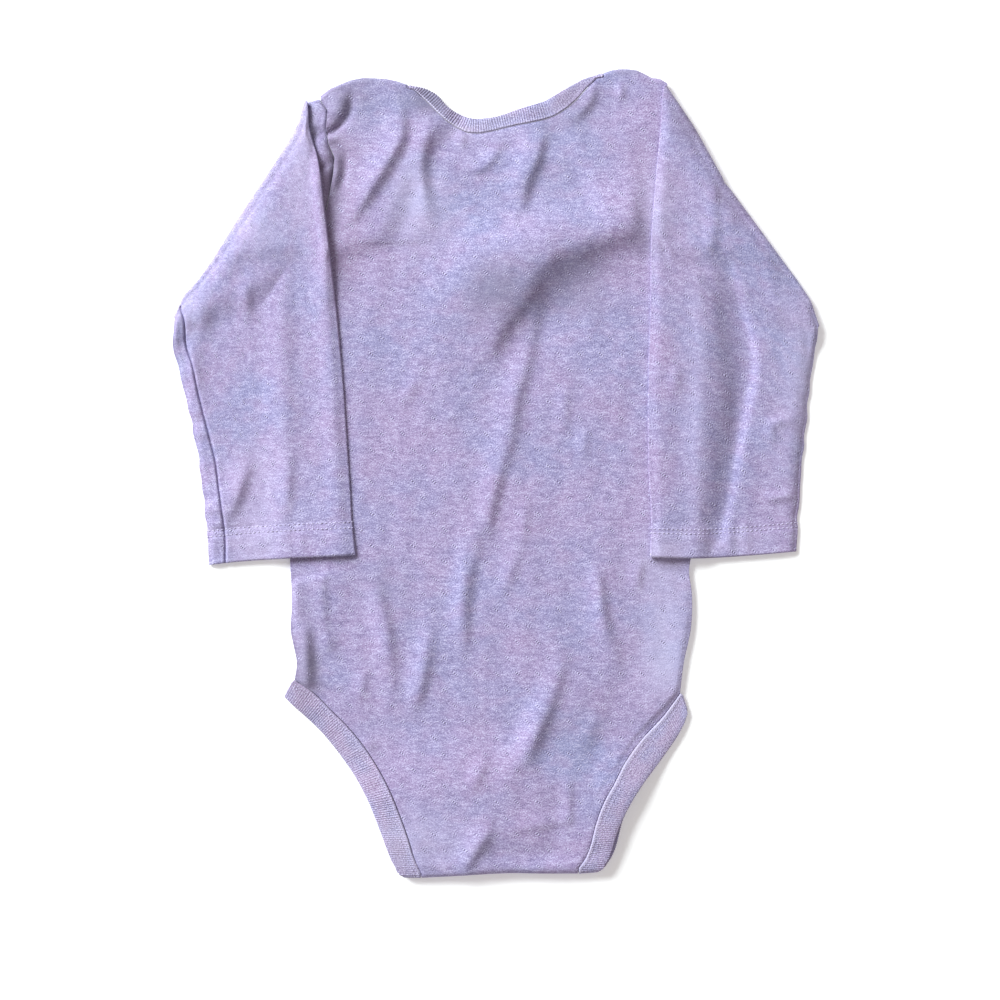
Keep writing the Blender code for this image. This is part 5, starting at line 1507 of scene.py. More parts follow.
    def spread_out(self, share: Array, steps: Array) -> tuple[Array, Array, Array, Array, Array, Array]:
        """Where the sleeve's rows lie in plan, and the shape of its fold.

        Args:
            share: each point's share of the way over, by row and column.
            steps: each row's share of the way down.

        Returns:
            The plan; then, for the first row's columns, the fold's axis, the way out of it, how far the fold
            is drawn in towards its tips, its radius and the height of its upper wall's middle.
        """
        cad_columns = 11
        side, sign = self.side, self.side.value
        half = self.room + self.wall
        first = share[0]
        fold = walk(smooth_line(PLAN.sleeve_fold[side], cad_columns + 1), first)
        fold_away = plan_normals(fold, (sign * FAR, FAR))
        upper = np.maximum(self.under(fold[:, 0], fold[:, 1]) + half, half + 2 * self.smallest_fold)
        radius = (upper - half) / 2
        tip = np.minimum(np.minimum(1.0, 0.55 + 3.0 * first), 0.35 + 5.0 * (1.0 - first))
        dents = (hump(np.linalg.norm(fold - np.array(spot), axis=1), 2.6) for spot in self.notches)
        dent = sum(dents, 0.0 * first)
        axis = fold - fold_away * ((radius + half) * tip + 2.1 * dent)[:, None]
        axis[:, 1] -= 1.5 * np.clip(1.0 - first * cad_columns, 0.0, 1.0)
        inner = smooth_line(PLAN.sleeve_inner[side], len(steps))
        outer = smooth_line(PLAN.sleeve_outer[side], len(steps))
        settle_in = np.clip(steps * 13.0, 0.0, 1.0)[:, None]
        inner = inner + plan_normals(inner, (sign * FAR, 0.0)) * half
        waves = self.edge_waves * wander(outer[:, 1], outer[:, 0] * 0.1, 8.0, 4.7 * sign)
        outer = outer + plan_normals(outer, (0.0, 0.0)) * (half + waves * ease(steps * 8.0))[:, None]
        inner = inner * settle_in + (axis[0] + (inner - inner[0])) * (1 - settle_in)
        outer = outer * settle_in + (axis[-1] + (outer - outer[0])) * (1 - settle_in)
        cuff = walk(smooth_line(PLAN.cuff_end[side], cad_columns + 1), share[-1])
        over = share[-1][:, None]
        cuff = cuff + (inner[-1] - cuff[0]) * (1 - over) + (outer[-1] - cuff[-1]) * over
        plan = patch(inner, outer, axis, cuff, share, (1 - steps) ** 1.5, steps ** 3)
        return plan, axis, fold_away, tip, radius, upper

    def ring(self, middles: Array, away: Array, room: Array, raised: Array,
             gathered: Optional[Array] = None) -> Array:
        """Outline of the flattened tube at one row, from the middle line between its two walls.

        Args:
            middles: points of the middle line.
            away: the way out of the upper wall at each of them.
            room: half the space between the walls.
            raised: how far the upper wall stands over its place.
            gathered: how far the lower wall does, which shows where the tube is upside down before its fold.

        Returns:
            The outline's points, ending where it began.
        """
        edge_angles = np.radians([30.0, 60.0, 90.0, 120.0, 150.0])
        upper = middles + away * (room + self.wall + raised)[:, None]
        below = room + self.wall if gathered is None else room + self.wall + gathered
        lower = middles - away * below[:, None]
        rounds = []
        for place, neighbour in ((-1, -2), (0, 1)):
            out = middles[place] - middles[neighbour]
            out = out - away[place] * (out @ away[place])
            out = out / np.linalg.norm(out)
            spread = room[place] + self.wall
            top = spread + raised[place]
            turn = edge_angles if place == -1 else edge_angles[::-1]
            rise = np.where(np.cos(turn) > 0, top, spread) * np.cos(turn)
            reach = (self.room + self.wall) * np.sin(turn)
            rounds.append(middles[place] + away[place] * rise[:, None] + out * reach[:, None])
        return np.concatenate([upper, rounds[0], lower[::-1], rounds[1], upper[:1]])

    def flat_places(self, points: Array) -> Array:
        """Places of the tube's points on its cloth, whose grain runs down the sleeve.

        Args:
            points: the tube's points, by row and column.

        Returns:
            The flat places, by row and column.
        """
        inner, outer = PLAN.cuff_end[self.side][0], PLAN.cuff_end[self.side][-1]
        lean = math.atan2((outer.along - inner.along), (outer.across - inner.across))
        if self.side is Side.LEFT:
            lean += math.pi
        turned = np.array([[math.cos(lean), -math.sin(lean)], [math.sin(lean), math.cos(lean)]])
        flat = points[..., :2] @ turned
        around = np.linalg.norm(np.diff(points, axis=1), axis=2)
        across = np.abs(np.diff(flat[..., 0], axis=1))
        extra = np.cumsum(np.maximum(around - across, 0.0), axis=1)
        extra = np.concatenate([np.zeros((len(points), 1)), extra], axis=1)
        flat[..., 0] += extra * self.side.value
        fold = self.hidden_rows + self.bend_steps
        ends = np.array([PLAN.sleeve_fold[self.side][0], PLAN.sleeve_fold[self.side][-1]], dtype=float)
        out = plan_normals(ends, (self.side.value * FAR, FAR))[0] @ turned
        for row in range(fold, -1, -1):
            step = np.linalg.norm(points[row + 1] - points[row], axis=1)[:, None]
            flat[row] = flat[row + 1] + step * out
        return flat

    def hem_lines(self) -> tuple[list[Array], list[Array]]:
        """The two rows of stitches round the cuff's upper and lower wall.

        Returns:
            The rows' points, and the way out of the cloth at each.
        """
        points = self.sheet.points[-self.hem_rows:]
        walked = np.linalg.norm((points - points[-1][None])[..., :2], axis=2)
        lines, normals = [], []
        for row in self.stitch_rows:
            line = np.array([[np.interp(-row, -down, run[:, axis]) for axis in range(3)]
                             for down, run in zip(walked.T, points.transpose(1, 0, 2))])
            over = np.gradient(line, axis=0)
            down = points[-1] - line
            out = np.cross(over, down)
            out = out / np.maximum(np.linalg.norm(out, axis=1), 1e-9)[:, None]
            if np.sum(out * (line - line.mean(axis=0))) < 0:
                out = -out
            lines.append(line)
            normals.append(out)
        return lines, normals

    def build(self, wardrobe: Wardrobe) -> bpy.types.Object:
        """Builds the sleeve.

        Args:
            wardrobe: the garment's finishes.

        Returns:
            The new object.
        """
        label = self.side.label
        self.sheet = self.surface()
        piece = self.sheet.build("sleeve_" + label + "_cloth", wardrobe.jersey, self.thickness)
        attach(piece, "root")
        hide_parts("sleeve_" + label)
        return piece


# --- bindings -------------------------------------------------------------------------------------
class Section(NamedTuple):
    """One section of a binding at the panel's edge."""

    face: Array         # the edge's outer point
    back: Array         # and its inner point
    reach: Array        # the way out from the edge to the binding's folded side
    lift: float         # how far the binding stands above the panel


@dataclass
class Binding:
    """A folded strip of rib knit along an edge, with its ribs across it."""

    name: str
    node: str
    width: float
    cut_width: float = 12.0
    rib_pitch: float = 1.15
    rib_depth: float = 0.21
    welt: float = 0.30                  # how far its seam edge stands up
    welt_at: float = 0.7                # where that is, in from the seam
    welt_width: float = 0.5
    ditch: float = 0.3                  # how deep the seam itself lies, and how far its ditch reaches
    crown: float = 0.15                 # how far the middle of its face bulges
    pucker: float = 0.45
    spacing_drift: float = 0.25         # how far the ribs' spacing wanders, in ribs
    rib_drift: float = 0.22             # and how far each rib wanders on its way across the strip
    rib_roundness: float = 0.8          # power that the ribs' wave is raised to; 1 is a plain wave
    depth_drift: float = 0.6
    back_depth: float = 0.4             # share of the ribs' depth that shows on the inner face
    pale_seam_and_highlight: float = 0.0              # how pale the seam edge is: partly its thread, partly a painted highlight
    corner_highlight: float = 0.0            # painted highlight, paler still, on the seam edge at the left shoulder
    corner_at: float = -36.0            # where that is, across the garment
    corner_reach: float = 13.0
    steps_a_rib: int = 6
    face_shares: tuple[float, ...] = (0.0, 0.04, 0.085, 0.15, 0.32, 0.54, 0.77, 1.0)
    first_depths: tuple[float, ...] = (0.2, 0.3, 0.6, 1.0)      # how deep the ribs are from the seam out
    edge_angles: tuple[float, ...] = (60.0, 30.0, 0.0, -30.0, -60.0)
    points: Optional[Array] = None      # its skin's points by section, once it is built
    normals: Optional[Array] = None     # and the way out of its face

    def build(self, sections: Sequence[Section], wardrobe: Wardrobe) -> bpy.types.Object:
        """Builds the strip through its sections.

        Args:
            sections: the coarse sections that it runs through.
            wardrobe: the garment's finishes.

        Returns:
            The new object.
        """
        face, back, reach = (np.array([getattr(section, key) for section in sections])
                             for key in ("face", "back", "reach"))
        lift = np.array([section.lift for section in sections])
        line = face + reach / 2
        walked = np.concatenate([[0.0], np.cumsum(np.linalg.norm(np.diff(line, axis=0), axis=1))])
        length = walked[-1]
        ribs = max(8, round(length / self.rib_pitch))
        place = np.linspace(0.0, length, ribs * self.steps_a_rib + 1)
        face, back, reach = (np.stack([np.interp(place, walked, part[:, axis]) for axis in range(3)], axis=1)
                             for part in (face, back, reach))
        lift = np.interp(place, walked, lift)
        uneven, puckered = drift(place, 5.0, 0.5, 2.0), drift(place, 6.5, 3.5, 8.0)
        phase = place / length * ribs + self.spacing_drift * uneven
        width = np.linalg.norm(reach, axis=1)
        away = reach / width[:, None]
        normal = face - back
        thick = np.linalg.norm(normal, axis=1)
        normal = normal / thick[:, None]
        middle = (face + back) / 2
        rounding = PLAN.wall / 2
        rows = []
        for number, out in enumerate(self.face_shares):
            rib = np.cos(2 * np.pi * (phase + self.rib_drift * drift(place, 3.0, 2.2 * out, 5.0)))
            wave = 0.5 * np.sign(rib) * np.abs(rib) ** self.rib_roundness - 0.5
            deep = self.rib_depth * wave * (1.0 + self.depth_drift * uneven)
            distance = PLAN.gap + (width - rounding - PLAN.gap) * out
            seam_edge = self.welt * hump(distance - PLAN.gap - self.welt_at, self.welt_width)
            seam_edge = seam_edge - self.ditch * hump(distance - PLAN.gap, self.ditch)
            crown = (self.crown + self.pucker * puckered) * math.sin(math.pi * out)
            depth = self.first_depths[min(number, len(self.first_depths) - 1)]
            rise = thick / 2 + lift + seam_edge + crown + deep * depth
            rows.append(middle + away * distance[:, None] + normal * rise[:, None])
        for angle in np.radians(self.edge_angles):
            size = rounding + deep * 0.9
            top = np.where(math.sin(angle) > 0, thick / 2 + lift + deep, thick / 2 + deep * self.back_depth)
            spot = middle + away * (width - rounding + size * math.cos(angle))[:, None]
            rows.append(spot + normal * (top * math.sin(angle))[:, None])
        for out in (1.0, 0.66, 0.33, 0.0):
            distance = PLAN.gap + (width - rounding - PLAN.gap) * out
            rise = thick / 2 + deep * self.back_depth
            rows.append(middle + away * distance[:, None] - normal * rise[:, None])
        rows.append(rows[0])
        points = np.transpose(np.array(rows), (1, 0, 2))
        around = np.concatenate([np.zeros((len(place), 1)),
                                 np.cumsum(np.linalg.norm(np.diff(points, axis=1), axis=2), axis=1)], axis=1)
        flat = np.stack([np.tile(phase[:, None] * RIB_COLOUR_PITCH, (1, points.shape[1])), around], axis=-1)
        self.points, self.normals = points, normal
        # the seam edge is painted pale: partly its thread, partly a painted highlight, strongest at the left
        # shoulder
        seam = np.zeros(points.shape[:2])
        near_corner = hump(points[:, 1:3, 0] - self.corner_at, self.corner_reach)
        seam[:, 1:3] = self.pale_seam_and_highlight + self.corner_highlight * near_corner
        piece = self.closed(Sheet(points, flat, tube=True, pale=seam), wardrobe.rib)
        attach(piece, "root")
        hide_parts(self.node)
        return piece

    def closed(self, sheet: Sheet, finish: bpy.types.Material) -> bpy.types.Object:
        """Builds the strip's skin and closes its two cut ends.

        Args:
            sheet: the strip's skin, a tube.
            finish: its material.

        Returns:
            The new object.
        """
        piece = sheet.build(self.name, finish)
        tool = bmesh.new()
        tool.from_mesh(piece.data)
        rims = [edge for edge in tool.edges if edge.is_boundary]
        bmesh.ops.holes_fill(tool, edges=rims, sides=0)
        bmesh.ops.recalc_face_normals(tool, faces=tool.faces)
        tool.to_mesh(piece.data)
        tool.free()
        return piece


@dataclass
class BindingMaker:
    """Works out the sections of all four bindings from the panels' edges."""

    back: BackPanel
    front: FrontPanel
    neck_width: float = 8.6
    front_leg_width: float = 11.0
    rib_lift: float = 0.5
    lift_columns: float = 12.0          # over which that lift begins at a binding's end
    least_width: float = 2.0
    corner_gap: float = 1.2             # how far the neck's ends are drawn in, in seam gaps
    lap_lean: float = 0.55              # how far down it points on the laps, for each step across
    tucked_share: float = 0.92          # share of its width that a leg binding keeps inside the tab
    over_hip: int = 8                   # steps of a leg binding's turn over the hip
    end_narrowing: float = 0.16         # share of its width that a leg binding loses at its front end
    corner_round: float = 0.28          # and the share that it loses in the middle of each turn
    left_neck_tilt: float = 1.6         # how far the neck binding leans down at its left end
    corner_dip: float = 1.2             # how far the folded-over binding drops below the one on top

    def width_to(self, points: Array, away: Array, outline: Array) -> Array:
        """How far it is from each point to an outline, along its own direction.

        Args:
            points: points in plan.
            away: each point's unit direction.
            outline: the outline's points.

        Returns:
            The distances.
        """
        start, run = outline[:-1][None], np.diff(outline, axis=0)[None]
        gap, ray = start - points[:, None], away[:, None]
        turned = ray[..., 0] * run[..., 1] - ray[..., 1] * run[..., 0]
        far = (gap[..., 0] * run[..., 1] - gap[..., 1] * run[..., 0]) / turned
        share = (gap[..., 0] * ray[..., 1] - gap[..., 1] * ray[..., 0]) / turned
        hit = (far > 0.0) & (share > -0.02) & (share < 1.02)
        return np.min(np.where(hit, far, self.neck_width * 1.2), axis=1)

    def sections_at(self, points: Array, reach: Array, lift: Array) -> list[Section]:
        """Sections at outer points, each in a row with the way into its wall, by their reach and lift."""
        return [Section(point[:3], point[:3] + point[3:] * PLAN.wall, out, float(rise))
                for point, out, rise in zip(points, reach, lift)]

    def edge_with_walls(self, column: int) -> Array:
        """The back's edge column, flap to shoulder flap, as outer points and the ways into the wall.

        Args:
            column: the column's number.

        Returns:
            A row of six numbers for each point.
        """
        points = self.back.seam_edges["points"]
        beside = column + 1 if column < points.shape[1] / 2 else column - 1
        run = np.gradient(points[:, column], axis=0)
        over = (points[:, beside] - points[:, column]) * (1.0 if beside > column else -1.0)
        inward = -np.cross(over, run)
        inward = inward / np.maximum(np.linalg.norm(inward, axis=1), 1e-9)[:, None]
        return np.concatenate([points[:, column], inward], axis=1)

    def neck_back(self) -> list[Section]:
        """Works out the back neck binding, up one flap's edge, along the neckline and down the other's.

        Returns:
            The sections, from left to right.
        """
        edges = self.back.seam_edges
        first, last = edges["corners"]
        body_end = edges["flap"] + edges["rows"] - 1
        outer = smooth_line(PLAN.back_neck_outer, last - first + 1)
        flaps = {}
        for side, column, corner in ((Side.LEFT, first, 0), (Side.RIGHT, last, -1)):
            line = self.edge_with_walls(column)[body_end:]
            over = outer[corner] - np.array(PLAN.back_neck_seam[corner])
            lap = np.array([-side.value, -self.lap_lean])
            lap = lap / np.linalg.norm(lap) * self.neck_width
            turn = ease((np.arange(len(line)) - 5.0) / self.back.bend_steps)[:, None]
            reach = over * (1 - turn) * 0.94 + lap * turn
            reach = np.concatenate([reach, self.corner_dip * (turn - 1.0)], axis=1)
            flaps[side] = self.sections_at(line, reach, np.zeros(len(line)))
        columns = np.arange(first, last + 1)
        top = edges["points"][body_end, columns]
        line = np.concatenate([top, np.tile([0.0, 0.0, -1.0], (len(top), 1))], axis=1)
        lean = -self.left_neck_tilt * ease((-12.0 - top[:, 0]) / 14.0) * ease((columns - first) / 8.0)
        outline = [PLAN.back_neck_seam[0], *PLAN.back_neck_outer, PLAN.back_neck_seam[-1]]
        away = plan_normals(top[:, :2], (0.0, FAR))
        width = np.maximum(self.width_to(top[:, :2], away, smooth_line(outline, 90)), self.least_width)
        away[[0, -1]], width[[0, -1]] = (0.0, 1.0), PLAN.shoulder_bend + PLAN.wall / 2
        reach = np.concatenate([away * width[:, None], lean[:, None]], axis=1)
        from_corner = np.minimum(columns - first, last - columns)
        drawn_in = self.corner_gap * PLAN.gap * (1.0 - ease(from_corner / 4.0))
        line[:, :2] -= away * drawn_in[:, None]
        neck = self.sections_at(line, reach, self.rib_lift * ease(from_corner / self.lift_columns))
        return flaps[Side.LEFT][::-1] + neck + flaps[Side.RIGHT]

    def neck_front(self) -> list[Section]:
        """Works out the front neck binding.

        Returns:
            The sections along the neckline.
        """
        points, _, ear = self.front.surface()
        edge = points[-1, ear:points.shape[1] - ear]
        away = plan_normals(edge[:, :2], (0.0, FAR)) * self.neck_width
        reach = np.concatenate([away, np.zeros((len(edge), 1))], axis=1)
        rise = np.array([0.0, 0.0, PLAN.wall])
        return [Section(point + rise, point, out, 0.0) for point, out in zip(edge, reach)]

    def leg(self, side: Side) -> list[Section]:
        """Sections of a leg binding: out of the tucked flap, up the back, over the hip and down the front.

        Args:
            side: which leg.

        Returns:
            The sections.
        """
        edges, sign = self.back.seam_edges, side.value
        column = 0 if side is Side.LEFT else edges["points"].shape[1] - 1
        line = self.edge_with_walls(column)
        flap, rows = edges["flap"], self.back.leg_rows
        outer = smooth_line(PLAN.leg_outer[side], rows + 1)
        start = outer[0] - line[flap, :2]
        past = flap - np.arange(flap, dtype=float)
        turned = ease((past - 1.0) / self.back.bend_steps)
        drawn = self.corner_round * np.sin(math.pi * np.clip(past / self.back.bend_steps, 0.0, 1.0))
        left_over = 1.0 - drawn - (1.0 - self.tucked_share) * turned
        flap_reach = np.concatenate([start[None] * left_over[:, None], np.zeros((flap, 1))], axis=1)
        body = line[flap:flap + rows + 1]
        numbers = np.arange(rows + 1)
        cut_in = 1.0 - 0.10 * hump(numbers, 2.5) - 0.08 * hump(rows - numbers, 2.0)
        body_reach = (outer - body[:, :2]) * cut_in[:, None]
        body_reach = np.concatenate([body_reach, np.zeros((rows + 1, 1))], axis=1)
        near_end = np.minimum(numbers, rows - numbers)
        sections = self.sections_at(line[:flap], flap_reach, np.zeros(flap))
        sections += self.sections_at(body, body_reach, self.rib_lift * ease(near_end / self.lift_columns))
        front_points, front_plan, _ = self.front.surface()
        front_column = 0 if side is Side.LEFT else front_points.shape[1] - 1
        front_rows = self.front.leg_rows
        reach = sections[-1].reach
        travel = np.array([sign * abs(reach[1]), -sign * reach[0] * np.sign(-reach[1]), 0.0])
        travel = travel / np.linalg.norm(travel)
        up = np.array([0.0, 0.0, 1.0])
        above = sections[-1].face - up * PLAN.wall / 2
        below = front_points[front_rows, front_column] + up * PLAN.wall / 2
        centre, radius = (above + below) / 2, (above - below)[2] / 2
        for step in range(1, self.over_hip):
            angle = math.pi * step / self.over_hip
            away = travel * math.sin(angle) + up * math.cos(angle)
            drawn = reach * (1.0 - self.corner_round * math.sin(angle))
            sections.append(Section(centre + away * (radius + PLAN.wall / 2),
                                    centre + away * (radius - PLAN.wall / 2), drawn, 0.0))
        edge = front_plan[:front_rows + 1, front_column]
        away = plan_normals(edge, (sign * FAR, -FAR)) * self.front_leg_width
        for row in range(front_rows, -1, -1):
            share = float(ease(np.array((front_rows - row) / 12.0)))
            narrowing = 1.0 - self.end_narrowing * (1.0 - float(ease(np.array(row / 10.0))))
            out = reach * (1 - share) + np.array([*away[row], 0.0]) * share * narrowing
            point = front_points[row, front_column]
            sections.append(Section(point, point + up * PLAN.wall, out, 0.0))
        return sections


# --- snaps ----------------------------------------------------------------------------------------
@dataclass
class Snap:
    """One snap: a cap with a rolled rim under the tab, and a socket ring with its stud above it."""

    label: str
    place: int
    cap_radius: float = 4.75
    cap_height: float = 0.9
    socket_radius: float = 4.2
    socket_height: float = 1.0
    turns: int = 48

    def turned(self, name: str, profile: Sequence[tuple[float, float]], low: float,
               finish: bpy.types.Material) -> bpy.types.Object:
        """Turns a profile round the snap's axis.

        Args:
            name: the new object's name.
            profile: radius and height of each point, from the axis over the top and back to the axis.
            low: height of the profile's zero.
            finish: the material.

        Returns:
            The new object.
        """
        offset = PLAN.offset()
        centre = np.array([PLAN.snap_middle + self.place * PLAN.snap_spacing, PLAN.snap_row, low]) + offset
        tool = bmesh.new()
        corners = [tool.verts.new(Vector(((centre[0] + radius) * METRES, centre[1] * METRES,
                                          (centre[2] + height) * METRES))) for radius, height in profile]
        edges = [tool.edges.new(pair) for pair in zip(corners, corners[1:])]
        bmesh.ops.spin(tool, geom=corners + edges, cent=Vector(centre * METRES), axis=(0.0, 0.0, 1.0),
                       angle=2 * math.pi, steps=self.turns, use_merge=True)
        bmesh.ops.remove_doubles(tool, verts=tool.verts, dist=1e-6)
        tool.verts.index_update()
        for parts in (tool.edges, tool.faces):      # merging leaves them in no fixed order
            in_order = sorted(parts, key=lambda part: sorted(corner.index for corner in part.verts))
            for number, part in enumerate(in_order):
                part.index = number
            parts.sort()
        bmesh.ops.recalc_face_normals(tool, faces=tool.faces)
        piece = add_object(name, tool, finish)
        piece.data.set_sharp_from_angle(angle=math.radians(40.0))
        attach(piece, "root")
        return piece

    def build(self, wardrobe: Wardrobe) -> list[bpy.types.Object]:
        """Builds the cap and the socket.

        Args:
            wardrobe: the garment's finishes.

        Returns:
            The two objects.
        """
        cap, top = self.cap_radius, self.cap_height
        cap_profile = [(0.0, 0.12), (2.2, 0.12), (2.6, 0.0), (4.2, 0.0), (4.6, 0.12), (cap, 0.4),
                       (4.65, top - 0.12), (4.4, top), (1.2, top), (1.0, top - 0.1), (0.0, top - 0.1)]
        ring, tall = self.socket_radius, self.socket_height
        socket_profile = [(0.0, 0.0), (3.8, 0.0), (4.1, 0.15), (ring, 0.4), (4.1, tall - 0.15), (3.8, tall),
                          (2.4, tall), (2.2, tall - 0.25), (1.9, tall - 0.25), (1.7, tall - 0.05),
                          (0.9, tall - 0.05), (0.7, tall - 0.3), (0.0, tall - 0.3)]
        tab_top = PLAN.tab_lift + PLAN.wall + PLAN.gap
        cap_piece = self.turned("snap_cap_" + self.label + "_moulded", cap_profile, 0.0, wardrobe.snap)
        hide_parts("snap_cap_" + self.label)
        socket = self.turned("snap_socket_" + self.label + "_moulded", socket_profile, tab_top, wardrobe.snap)
        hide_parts("snap_socket_" + self.label)
        return [cap_piece, socket]


# --- stitches -------------------------------------------------------------------------------------
@dataclass
class StitchLine:
    """A row of stitches, each a short thread that dips at both its ends."""

    name: str
    pitch: float = 2.2
    length: float = 1.55
    radius: float = 0.30
    sink: float = 0.08                  # how far it is pulled into the cloth

    def build(self, lines: Sequence[Array], normals: Sequence[Array], wardrobe: Wardrobe) -> bpy.types.Object:
        """Builds all stitches along some lines as one mesh.

        Args:
            lines: points on the cloth for each line, in millimetres.
            normals: the way out of the cloth at each of those points.
            wardrobe: the garment's finishes.

        Returns:
            The new object.
        """
        tool = bmesh.new()
        offset, radius = PLAN.offset(), self.radius * METRES
        for line, normal in zip(lines, normals):
            length = float(np.sum(np.linalg.norm(np.diff(line, axis=0), axis=1)))
            count = int(length / self.pitch)
            spots = walk(np.concatenate([line, normal], axis=1), (np.arange(count) + 0.5) / count)
            ahead = walk(line, (np.arange(count) + 0.6) / count)
            for spot, next_spot in zip(spots, ahead):
                out = Vector(spot[3:]).normalized()
                run = Vector(next_spot - spot[:3])
                run = (run - out * run.dot(out)).normalized()
                across = out.cross(run)
                place = Vector((spot[:3] + offset) * METRES) + out * (self.radius * 0.5 - self.sink) * METRES
                reach_down = self.radius + (self.length / 2 - self.radius) * abs(run.z)
                place.z = max(place.z, (offset[2] + reach_down) * METRES)
                turn = Matrix((across, run, out)).transposed().to_4x4()
                size = Matrix.Diagonal((radius, self.length / 2 * METRES, radius, 1.0))
                bmesh.ops.create_icosphere(tool, subdivisions=1, radius=1.0,
                                           matrix=Matrix.Translation(place) @ turn @ size)
        piece = add_object(self.name, tool, wardrobe.thread)
        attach(piece, "root")
        return piece


# --- studio ---------------------------------------------------------------------------------------
@dataclass
class Studio:
    """Pale floor, soft lights and the camera straight above."""

    camera_height: float = 2.5          # in metres
    view_width: float = 0.5             # what the picture spans, in metres
    sensor: float = 36.0
    picture_middle: tuple[float, float] = (1.75, -13.0)
    reference_height: float = 4.0       # where it spans that much
    floor_size: float = 3.0             # half its side, in metres
    floor_gap: float = 0.0004           # how far it lies under the garment, in metres
    floor_glow: float = 0.22            # a lit table under the paper, which keeps the shadows soft
    air_colour: Colour = (1.0, 0.93, 0.905, 1.0)
    air_light: float = 0.32

    def floor(self) -> None:
        """A plain pale floor under the garment."""
        tool = bmesh.new()
        bmesh.ops.create_grid(tool, x_segments=1, y_segments=1, size=self.floor_size)
        bmesh.ops.translate(tool, verts=tool.verts, vec=(0.0, 0.0, -self.floor_gap))
        graph = Graph("pale_floor")
        place = graph.node("TexCoord").outputs["Object"]
        paper = graph.grain(place, (900.0, 900.0, 900.0), detail=2.0)
        colour = graph.blend(graph.span(paper, 0.3, 0.7), (0.95, 0.95, 0.95, 1.0), (0.97, 0.97, 0.97, 1.0))
        graph.finish(colour, paper, distance=0.02, sheen=0.0, roughness=0.9)
        graph.shader.inputs["Emission Color"].default_value = (1.0, 1.0, 1.0, 1.0)
        graph.shader.inputs["Emission Strength"].default_value = self.floor_glow
        floor = add_object("studio_floor", tool, graph.material)

    def light(self, name: str, power: float, size: float, spot: tuple[float, float, float],
              colour: tuple[float, float, float]) -> None:
        """One square area light that faces the garment.

        Args:
            name: the light's name.
            power: its power in watts.
            size: its side, in metres.
            spot: where it hangs, in metres.
            colour: its colour.
        """
        lamp = bpy.data.lights.new(name, "AREA")
        lamp.energy = power
        lamp.size = size
        lamp.color = colour
        holder = bpy.data.objects.new(name, lamp)
        holder.location = spot
        holder.rotation_euler = (-Vector(spot)).to_track_quat("-Z", "Y").to_euler()
        bpy.context.scene.collection.objects.link(holder)

    def build(self) -> None:
        """Sets up floor, lights, air and camera."""
        self.floor()
        self.light("window", power=400.0, size=2.5, spot=(-2.85, 2.35, 2.30), colour=(0.915, 0.985, 1.0))
        self.light("room", power=7.0, size=2.4, spot=(1.2, -0.8, 2.0), colour=(1.0, 0.92, 0.90))
        world = bpy.data.worlds.new("studio_air")
        world.use_nodes = True
        air = world.node_tree.nodes["Background"].inputs
        air["Color"].default_value = self.air_colour
        air["Strength"].default_value = self.air_light
        bpy.context.scene.world = world
        bpy.context.scene.view_settings.view_transform = "Standard"
        eye = bpy.data.cameras.new("camera")
        eye.sensor_width = self.sensor
        offset = PLAN.offset()
        eye.lens = self.sensor * (self.camera_height - self.reference_height * METRES) / self.view_width
        holder = bpy.data.objects.new("camera", eye)
        holder.location = ((self.picture_middle[0] + offset[0]) * METRES,
                           (self.picture_middle[1] + offset[1]) * METRES, self.camera_height)
        bpy.context.scene.collection.objects.link(holder)
        bpy.context.scene.camera = holder


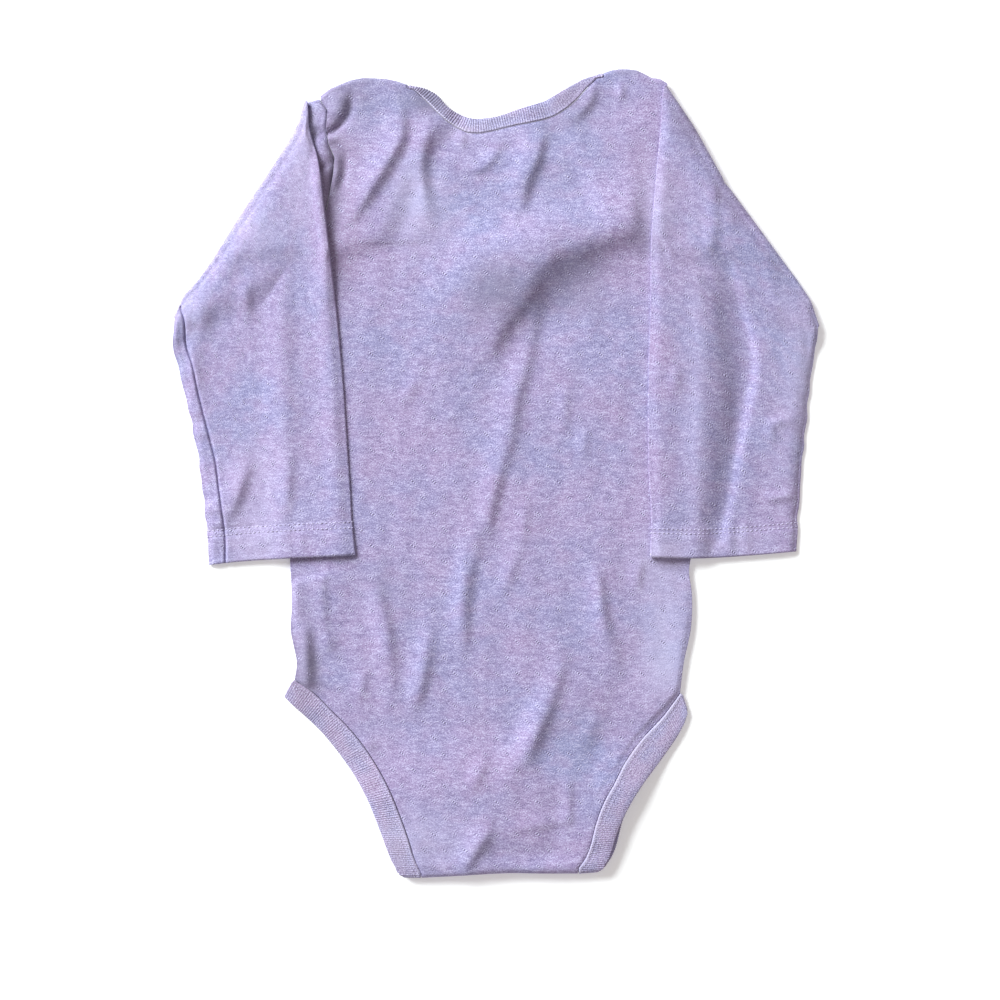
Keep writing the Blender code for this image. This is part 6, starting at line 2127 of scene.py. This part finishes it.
# --- assembly -------------------------------------------------------------------------------------
def make_sleeves() -> list[Sleeve]:
    """Gives both sleeves their own creases, seams and hem rows.

    Returns:
        The sleeves.
    """
    left = Sleeve(
        Side.LEFT,
        creases=(
            crease(1.4, 12, 16, (-120, 118), (-117, 85), (-112, 45), (-106, 5)),
            crease(2.1, 3.4, 7, (-124.2, 6), (-129.2, -9), (-135.2, -23)),
            crease(1.5, 3, 4, (-125.2, 95), (-124.8, 78)),
            crease(1.5, 4, 5, (-146.8, 85), (-146.8, 67)),
            crease(1.2, 4, 3, (-151.8, 67), (-151.2, 41)),
            crease(-1.3, 5, 13, (-95.2, 102), (-92.2, 72), (-89.2, 27), (-85.2, -41)),
            crease(1, 3, 4, (-103.5, 11), (-104.5, -17)),
            crease(0.8, 4, 6, (-114.2, -23), (-117.2, -39)),
            crease(0.7, 3, 3, (-98.2, -28), (-97.2, -41))),
        seam=stations((-158.5, 85), (-157.5, 81.5), (-156.2, 77), (-155.8, 72), (-155.7, 67), (-154.7, 62),
            (-152.7, 56.5), (-151.5, 51.5), (-150.2, 44.5), (-147.2, 32), (-143.7, 18.5), (-140.6, 5.5),
            (-139.2, -6), (-138.2, -13), (-136.7, -24), (-136.1, -29), (-135.7, -45)),
        standing=insets((0, 0), (0.13, 0.2), (0.2, 3.4), (0.42, 3.4), (0.54, 0.5), (0.75, 0.1), (1, 0)),
        stitch_rows=(14.0, 16.9),
        head_creases=(
            crease(1, 3.4, 2.4, (-93.5, 190), (-92, 181), (-90.5, 174)),
            crease(1.5, 2.4, 3, (-89.5, 168), (-87.5, 160), (-87, 150), (-87.5, 141)),
            crease(-2.4, 2.4, 2, (-97, 168.5), (-91, 170), (-84, 170.5)),
            crease(-2.2, 2.2, 1.8, (-92, 152.5), (-84, 155))))
    right = Sleeve(
        Side.RIGHT,
        creases=(
            crease(1.8, 7, 18, (102.8, 117), (107.8, 87), (110.8, 57), (111.8, 27), (109.8, 2), (106.8, -23)),
            crease(-2.9, 2.5, 10, (115.8, 106), (120.8, 84.5), (126.8, 66), (127.2, 51), (122.2, 27),
                   (118.8, 7), (115.8, -13), (110.8, -33)),
            crease(1.5, 15, 17, (115.8, 96), (126.8, 62), (122.2, 27), (115.8, -13), (112.8, -27)),
            crease(1.2, 2.6, 3, (146.8, 27), (137.8, 24), (137.8, 16)),
            crease(1.1, 2.6, 3, (149, -11), (134, -12)),
            crease(0.9, 3, 3, (89.8, 54), (88.8, 40)),
            crease(1.6, 1.8, 3, (109.8, 144), (110.2, 137)),
            crease(1.3, 3, 4, (107.8, 134), (108.2, 121), (105.8, 111)),
            crease(0.9, 2.4, 4, (119.8, 139), (117.2, 124)),
            crease(0.8, 2.4, 3, (79.2, -22), (79.8, -41)),
            crease(1.1, 2.2, 18, (151.8, 72), (154.2, 47), (151.2, 12), (149.3, -33)),
            crease(0.8, 2.4, 3, (116.2, -22), (117.2, -41)),
            crease(0.6, 2.2, 3, (124.8, -22), (125.2, -41))),
        standing=insets((0, 0), (1, 0)),
        notches=stations((112.7, 144.5)),
        stitch_rows=(12.4, 14.5))
    return [left, right]


def main() -> None:
    """Builds every piece of the bodysuit and the studio round it."""
    logging.basicConfig(level=logging.INFO, format="%(name)s: %(message)s")
    finishes = (HeatherJersey(), HeatherRib(), SewingThread(), SnapPlastic())
    wardrobe = Wardrobe(*(finish.make() for finish in finishes))
    back, front = BackPanel(), FrontPanel()
    front_piece = front.build(wardrobe)
    back_piece = back.build(wardrobe)
    LOG.info("%s and %s built", front_piece.name, back_piece.name)
    for sleeve in make_sleeves():
        piece = sleeve.build(wardrobe)
        rows = StitchLine("hem_stitches_" + sleeve.side.label)
        stitches = rows.build(*sleeve.hem_lines(), wardrobe)
        LOG.info("%s built, with its hem", piece.name)
    maker = BindingMaker(back, front)
    # the neck's seam edge: pale thread and painted highlight, most at the left shoulder
    deep_ribs = {"rib_pitch": 1.25, "rib_depth": 0.30, "pale_seam_and_highlight": 0.5, "corner_highlight": 1.1}
    strips = [(Binding("neck_binding_back_rib", "neck_binding_back", maker.neck_width, 10.8, **deep_ribs),
               maker.neck_back()),
              (Binding("neck_binding_front_rib", "neck_binding_front", maker.neck_width, **deep_ribs),
               maker.neck_front())]
    for side in Side:
        name = "leg_binding_" + side.label
        # the right leg's seam edge gets more painted highlight than the left one
        strips.append((Binding(name + "_rib", name, 13.0, pale_seam_and_highlight=0.5 if side is Side.RIGHT else 0.1),
                       maker.leg(side)))
    for strip, sections in strips:
        LOG.info("%s built", strip.build(sections, wardrobe).name)
        if strip.node.startswith("leg"):
            seam_rows = [strip.points[:, number] for number in (3, 4)]
            rows = StitchLine(strip.node + "_stitches", pitch=1.9, length=1.2, radius=0.22)
            rows.build(seam_rows, [strip.normals, strip.normals], wardrobe)
    for label, place in (("left", -1), ("middle", 0), ("right", 1)):
        for piece in Snap(label, place).build(wardrobe):
            LOG.info("%s built", piece.name)
    Studio().build()


if __name__ == "__main__":
    main()
